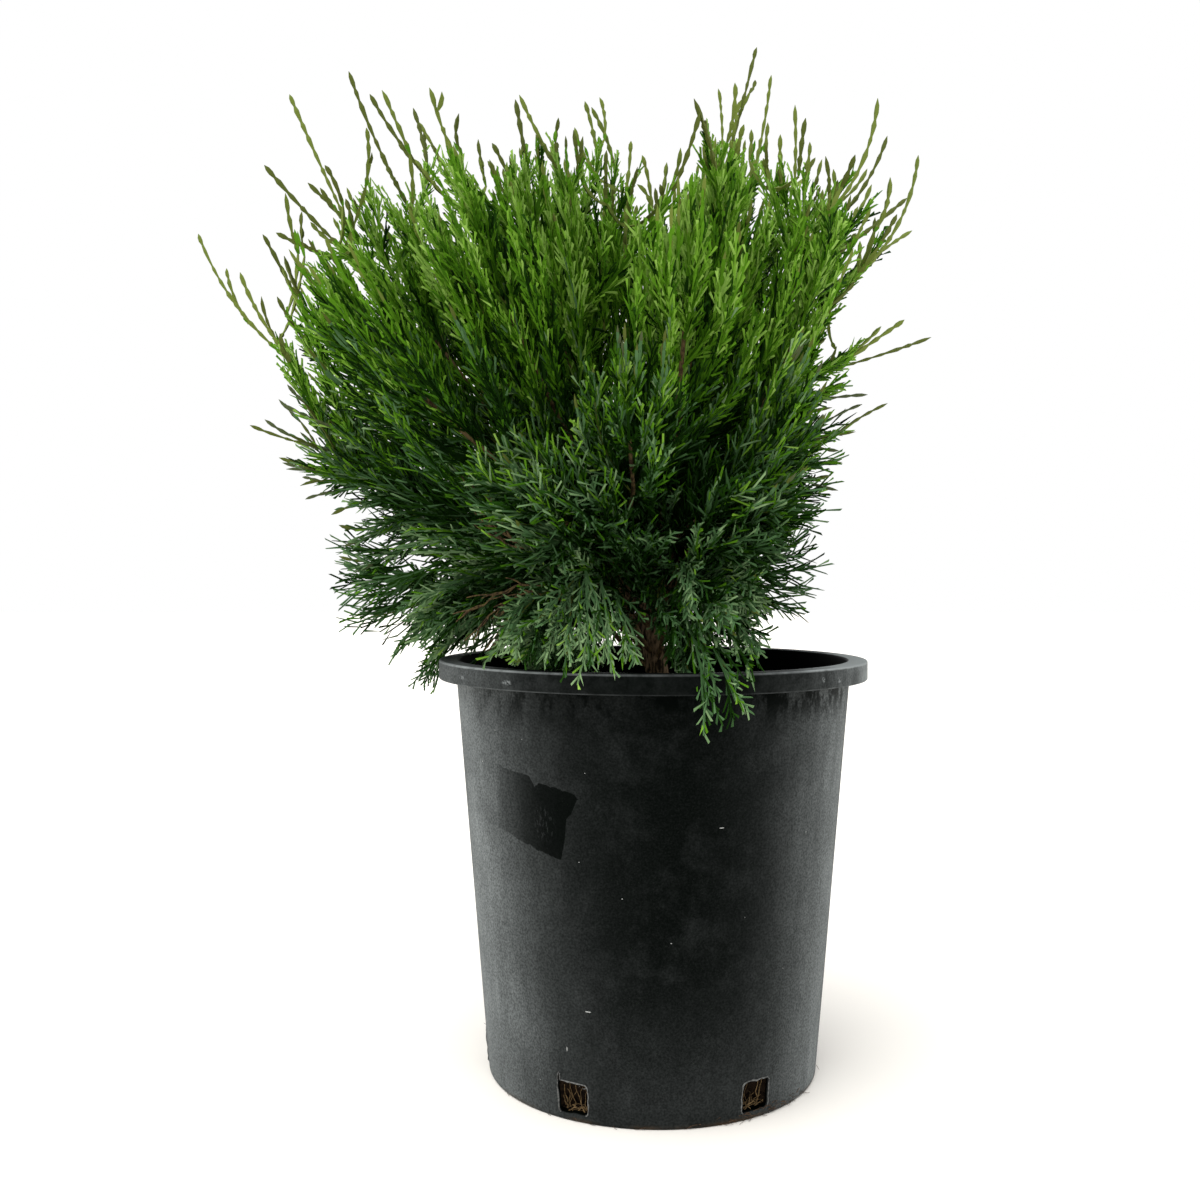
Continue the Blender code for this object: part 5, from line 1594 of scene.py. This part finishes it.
class JuniperFoliageSettings(bpy.types.PropertyGroup):
    """Sizes that the foliage is grown with, and its greens."""

    shoots_per_metre: number_of("Shoots per metre", "Side shoots along each metre of a plume's stem", 140.0)
    twiglet_gap: length_of("Twiglet gap", "Distance between the twiglets along a shoot", 0.0040)
    branchlet_radius: length_of("Branchlet radius", "Half the thickness of a scaly branchlet", 0.00076)
    inner_sprays: bpy.props.IntProperty(
        name="Inner sprays", description="Short dark sprays on each bough", default=9, min=0
    )
    # The greens run from painted shade deep inside to painted light on the outer and higher tips
    shade_green: colour_of("Shade green", "Branchlets deep inside", (0.004, 0.018, 0.001))
    deep_green: colour_of("Deep green", "Branchlets in the shade", (0.012, 0.046, 0.003))
    mid_green: colour_of("Middle green", "Duller branchlets of the crown", (0.040, 0.122, 0.005))
    leaf_green: colour_of("Leaf green", "Branchlets of the crown", (0.078, 0.205, 0.009))
    bright_green: colour_of("Bright green", "Outer branchlets of the crown", (0.142, 0.296, 0.028))
    # Young branchlets, and also the highest and outermost tips of the crown painted lightest
    fresh_green: colour_of("Fresh green", "Young branchlets", (0.235, 0.405, 0.075))
    blue_green: colour_of("Blue green", "Duller branchlets of the lower fans", (0.034, 0.082, 0.027))
    slate_green: colour_of("Slate green", "Branchlets of the lower fans", (0.067, 0.142, 0.056))
    sage_green: colour_of("Sage green", "Lit branchlets of the lower fans", (0.128, 0.220, 0.096))
    pale_green: colour_of("Pale green", "Tips of the lower fans", (0.205, 0.320, 0.150))
    young_olive: colour_of("Young olive", "The lighter knobbly tips", (0.132, 0.176, 0.034))
    leader_olive: colour_of("Leader olive", "Knobbly tips and green stems", (0.080, 0.102, 0.021))
    dull_olive: colour_of("Dull olive", "Knobbly tips of the lower fans", (0.072, 0.092, 0.040))


class JuniperStudioSettings(bpy.types.PropertyGroup):
    """The floor, the lights and the camera."""

    floor: colour_of("Floor", "The pale floor", (0.930, 0.905, 0.860))
    sky_strength: number_of("Sky strength", "Strength of the soft light from all round", 1.00)
    key_strength: number_of("Key strength", "Strength of the soft sun above and to the left", 2.4)
    lens: number_of("Lens", "Focal length in millimetres on a 36 mm sensor", 38.13)


class JUNIPER_OT_pot(bpy.types.Operator):
    """Make the black nursery pot with its drain holes"""

    bl_idname = "juniper.pot"
    bl_label = "Nursery pot"

    def execute(self, context):
        sizes = context.scene.juniper_pot
        pot = new_object("nursery_pot", mesh_from(spun(pot_profile(sizes), 160), "nursery_pot"))
        verts, faces = drain_cutters()
        mesh = bpy.data.meshes.new("drain_cutter")
        mesh.from_pydata(verts, [], faces)
        cutter = new_object("drain_cutter", mesh)
        cut = pot.modifiers.new("cut", "BOOLEAN")
        cut.operation = "DIFFERENCE"
        cut.solver = "EXACT"
        cut.object = cutter
        made_plain(pot)
        bpy.data.objects.remove(cutter)
        pot.data.materials.clear()
        pot.data.materials.append(pot_material(sizes))
        pot.data.polygons.foreach_set("use_smooth", np.ones(len(pot.data.polygons), dtype=bool))
        pot.data.set_sharp_from_angle(angle=math.radians(35))
        give(pot, "black_plastic", "pot")

        sprigs = Sprigs()
        drain_burrs(sprigs, sizes)
        worn = grained_material("worn_plastic_edge", tuple(0.4 * part for part in sizes.worn), sizes.worn, 900.0)
        give(swept("drain_hole_lips", sprigs.meshes("burr")[0], worn, 5), "black_plastic")

        spots = []
        for turn, height, wide, high in specks():
            turn = math.radians(turn)
            outward = np.array((math.cos(turn), math.sin(turn), 0.0))
            spots.append((on_wall(turn, height), outward, wide, high))
        flecks = new_object("pot_specks", lumps_mesh("pot_specks", spots))
        flecks.data.materials.append(
            grained_material("pale_specks", tuple(0.6 * part for part in sizes.speck), sizes.speck, 2000.0)
        )
        give(flecks, "black_plastic")
        return {"FINISHED"}


class JUNIPER_OT_mix(bpy.types.Operator):
    """Make the potting mix, its chips, and the roots behind the drain holes"""

    bl_idname = "juniper.mix"
    bl_label = "Potting mix"

    def execute(self, context):
        sizes = context.scene.juniper_mix
        mesh = mix_surface(sizes)
        mix = new_object("potting_mix_surface", mesh)
        mesh.materials.append(grained_material("damp_mix", sizes.dark, sizes.light, 380.0, 1.0, 0.0010))
        mesh.polygons.foreach_set("use_smooth", np.ones(len(mesh.polygons), dtype=bool))
        give(mix, "potting_mix", "potting_mix")

        chip = grained_material("bark_chips", tuple(0.3 * part for part in sizes.chip), sizes.chip, 700.0, 1.0, 0.0003)
        tree, sockets = crumb_tree(chip)
        small = 0.25 * sizes.crumb
        values = {
            "Density": 46000.0, "Lowest": MIX_TOP - 0.004, "Widest": 0.107, "Seed": 5,
            "Least Size": (small, small, 0.5 * small), "Most Size": (sizes.crumb, 0.7 * sizes.crumb, 0.5 * sizes.crumb),
        }
        give(shaped("bark_chips", mix.data.copy(), tree, sockets, values, False), "potting_mix")

        sprigs = Sprigs()
        drain_roots(sprigs, sizes)
        foot_fibres(sprigs, sizes)
        root = grained_material("fine_roots", tuple(0.45 * part for part in sizes.root), sizes.root, 800.0)
        give(swept("drain_roots", sprigs.meshes("root")[0], root, 5), "bark")
        dirt = grained_material("foot_fibres", sizes.light, sizes.chip, 800.0)
        give(swept("foot_fibres", sprigs.meshes("fibre")[0], dirt, 4), "potting_mix")
        return {"FINISHED"}


class JUNIPER_OT_wood(bpy.types.Operator):
    """Make the bark of the trunk and the boughs"""

    bl_idname = "juniper.wood"
    bl_label = "Trunk and boughs"

    def execute(self, context):
        sizes = context.scene.juniper_wood
        verts, faces = [], []

        def take(points, radii, sides, seed):
            made, sheets = bark_tube(points, radii, sides, sizes.ring_gap, seed)
            base = len(verts)
            verts.extend(made)
            faces.extend(tuple(base + corner for corner in sheet) for sheet in sheets)

        shares = np.linspace(0.0, 1.0, 60)
        points = np.array([trunk_point(share) for share in shares])
        radii = np.array([trunk_radius(share) for share in shares])
        take(points, radii, 28, 3.0)
        for number, plume in enumerate(make_plumes().values()):
            if plume.tier.bare:
                distance = np.linspace(plume.first, plume.tier.bare + BOUGH_END, 40)
                spots = (plume.first, plume.tier.bare, plume.tier.bare + BOUGH_END)
                radii = plume.tier.radius * np.interp(distance, spots, (1.0, LIMB_TAPER, 0.25))
                take(limb_line(plume, distance), radii, 14, 11.0 * number)
        mesh = bpy.data.meshes.new("trunk_and_boughs")
        mesh.from_pydata([tuple(vert) for vert in verts], [], faces)
        mesh.polygons.foreach_set("use_smooth", np.ones(len(mesh.polygons), dtype=bool))
        mesh.materials.append(grained_material("juniper_bark", sizes.groove, sizes.ridge, 620.0, 0.3))
        bark = new_object("trunk_and_boughs", mesh)
        give(bark, "bark", *[name for name in NODES if name == "trunk" or "bough" in name])
        return {"FINISHED"}


class JUNIPER_OT_foliage(bpy.types.Operator):
    """Grow the twigs and scaly branchlets of every plume"""

    bl_idname = "juniper.foliage"
    bl_label = "Foliage"

    def execute(self, context):
        sizes = context.scene.juniper_foliage
        rng = np.random.default_rng(SEED)
        sprigs = Sprigs()
        stems = []
        for plume in make_plumes().values():
            stems.append(grow_plume(plume, sprigs, rng, sizes))
            grow_inner(plume, sprigs, rng, sizes)
        stems = np.concatenate(stems)
        grow_named_leaders(stems, sprigs, rng, sizes)
        grow_named_sprays(stems, sprigs, rng, sizes)
        grow_bare_twigs(stems, sprigs, rng)
        made = []
        for name in (*GREENS, *OLIVES):
            material = plain_material(name, getattr(sizes, name), 0.60, 0.04)
            if any(kind == name for kind, rings in sprigs.lines):
                for number, mesh in enumerate(sprigs.meshes(name)):
                    made.append(swept(f"twiglets_{name}_{number + 1}", mesh, material, 3, False))
            for number, mesh in enumerate(sprigs.dash_meshes(name)):
                made.append(dashed(f"branchlets_{name}_{number + 1}", mesh, material))
        brown = grained_material("twig_bark", (0.045, 0.028, 0.018), context.scene.juniper_wood.twig, 620.0, 0.3)
        give(swept("plume_stems", sprigs.meshes("twig_bark")[0], brown, 7), "bark")
        give(made[0], "bright_foliage", *[name for name in NODES if "plume" in name])
        for item in made[1:]:
            low = any(name in item.name for name in DARK_GREENS)
            give(item, "deep_foliage" if low else "bright_foliage")
        return {"FINISHED"}


class JUNIPER_OT_stage(bpy.types.Operator):
    """Set the pale floor, the soft lights and the camera"""

    bl_idname = "juniper.stage"
    bl_label = "Studio"

    def execute(self, context):
        studio = context.scene.juniper_studio
        size = 8.0
        mesh = bpy.data.meshes.new("studio_floor")
        mesh.from_pydata([(-size, -size, 0), (size, -size, 0), (size, size, 0), (-size, size, 0)], [], [(0, 1, 2, 3)])
        floor = new_object("studio_floor", mesh)
        mesh.materials.append(plain_material("pale_floor", studio.floor, 0.9, 0.1))
        world = bpy.data.worlds.new("studio")
        world.use_nodes = True
        sky = world.node_tree.nodes["Background"]
        sky.inputs["Color"].default_value = (1.0, 1.0, 1.0, 1.0)
        sky.inputs["Strength"].default_value = studio.sky_strength
        context.scene.world = world
        context.scene.view_settings.view_transform = "Standard"
        light = bpy.data.lights.new("key_light", "SUN")
        light.energy = studio.key_strength
        light.angle = math.radians(55)
        light.color = (1.0, 0.985, 0.955)
        item = bpy.data.objects.new("key_light", light)
        item.rotation_euler = Vector((0.32, 0.30, -1.15)).to_track_quat("-Z", "Y").to_euler()
        context.scene.collection.objects.link(item)
        camera = bpy.data.cameras.new("camera")
        camera.lens = studio.lens
        camera.sensor_width = 36.0
        item = bpy.data.objects.new("camera", camera)
        item.location = (-0.0307, -0.751, 0.291)
        item.rotation_euler = (math.pi / 2 - 0.0226, 0.0, 0.0)
        context.scene.collection.objects.link(item)
        context.scene.camera = item
        return {"FINISHED"}


OPERATORS = (
    JUNIPER_OT_pot,
    JUNIPER_OT_mix,
    JUNIPER_OT_wood,
    JUNIPER_OT_foliage,
    JUNIPER_OT_stage,
)
SETTINGS = {
    "juniper_pot": JuniperPotSettings,
    "juniper_mix": JuniperMixSettings,
    "juniper_wood": JuniperWoodSettings,
    "juniper_foliage": JuniperFoliageSettings,
    "juniper_studio": JuniperStudioSettings,
}


class JUNIPER_PT_panel(bpy.types.Panel):
    """Lists the juniper's pieces with their sizes and colours"""

    bl_label = "Juniper"
    bl_idname = "JUNIPER_PT_panel"
    bl_space_type = "VIEW_3D"
    bl_region_type = "UI"
    bl_category = "Juniper"

    def draw(self, context):
        for operator, (name, group) in zip(OPERATORS, SETTINGS.items()):
            box = self.layout.box()
            box.operator(operator.bl_idname)
            for key in group.__annotations__:
                box.prop(getattr(context.scene, name), key)


CLASSES = (*SETTINGS.values(), *OPERATORS, JUNIPER_PT_panel)


def register():
    for item in CLASSES:
        bpy.utils.register_class(item)
    for name, group in SETTINGS.items():
        setattr(bpy.types.Scene, name, bpy.props.PointerProperty(type=group))


def unregister():
    for name in SETTINGS:
        delattr(bpy.types.Scene, name)
    for item in reversed(CLASSES):
        bpy.utils.unregister_class(item)


def main():
    register()
    bpy.ops.juniper.pot()
    bpy.ops.juniper.mix()
    bpy.ops.juniper.wood()
    bpy.ops.juniper.foliage()
    bpy.ops.juniper.stage()


if __name__ == "__main__":
    main()
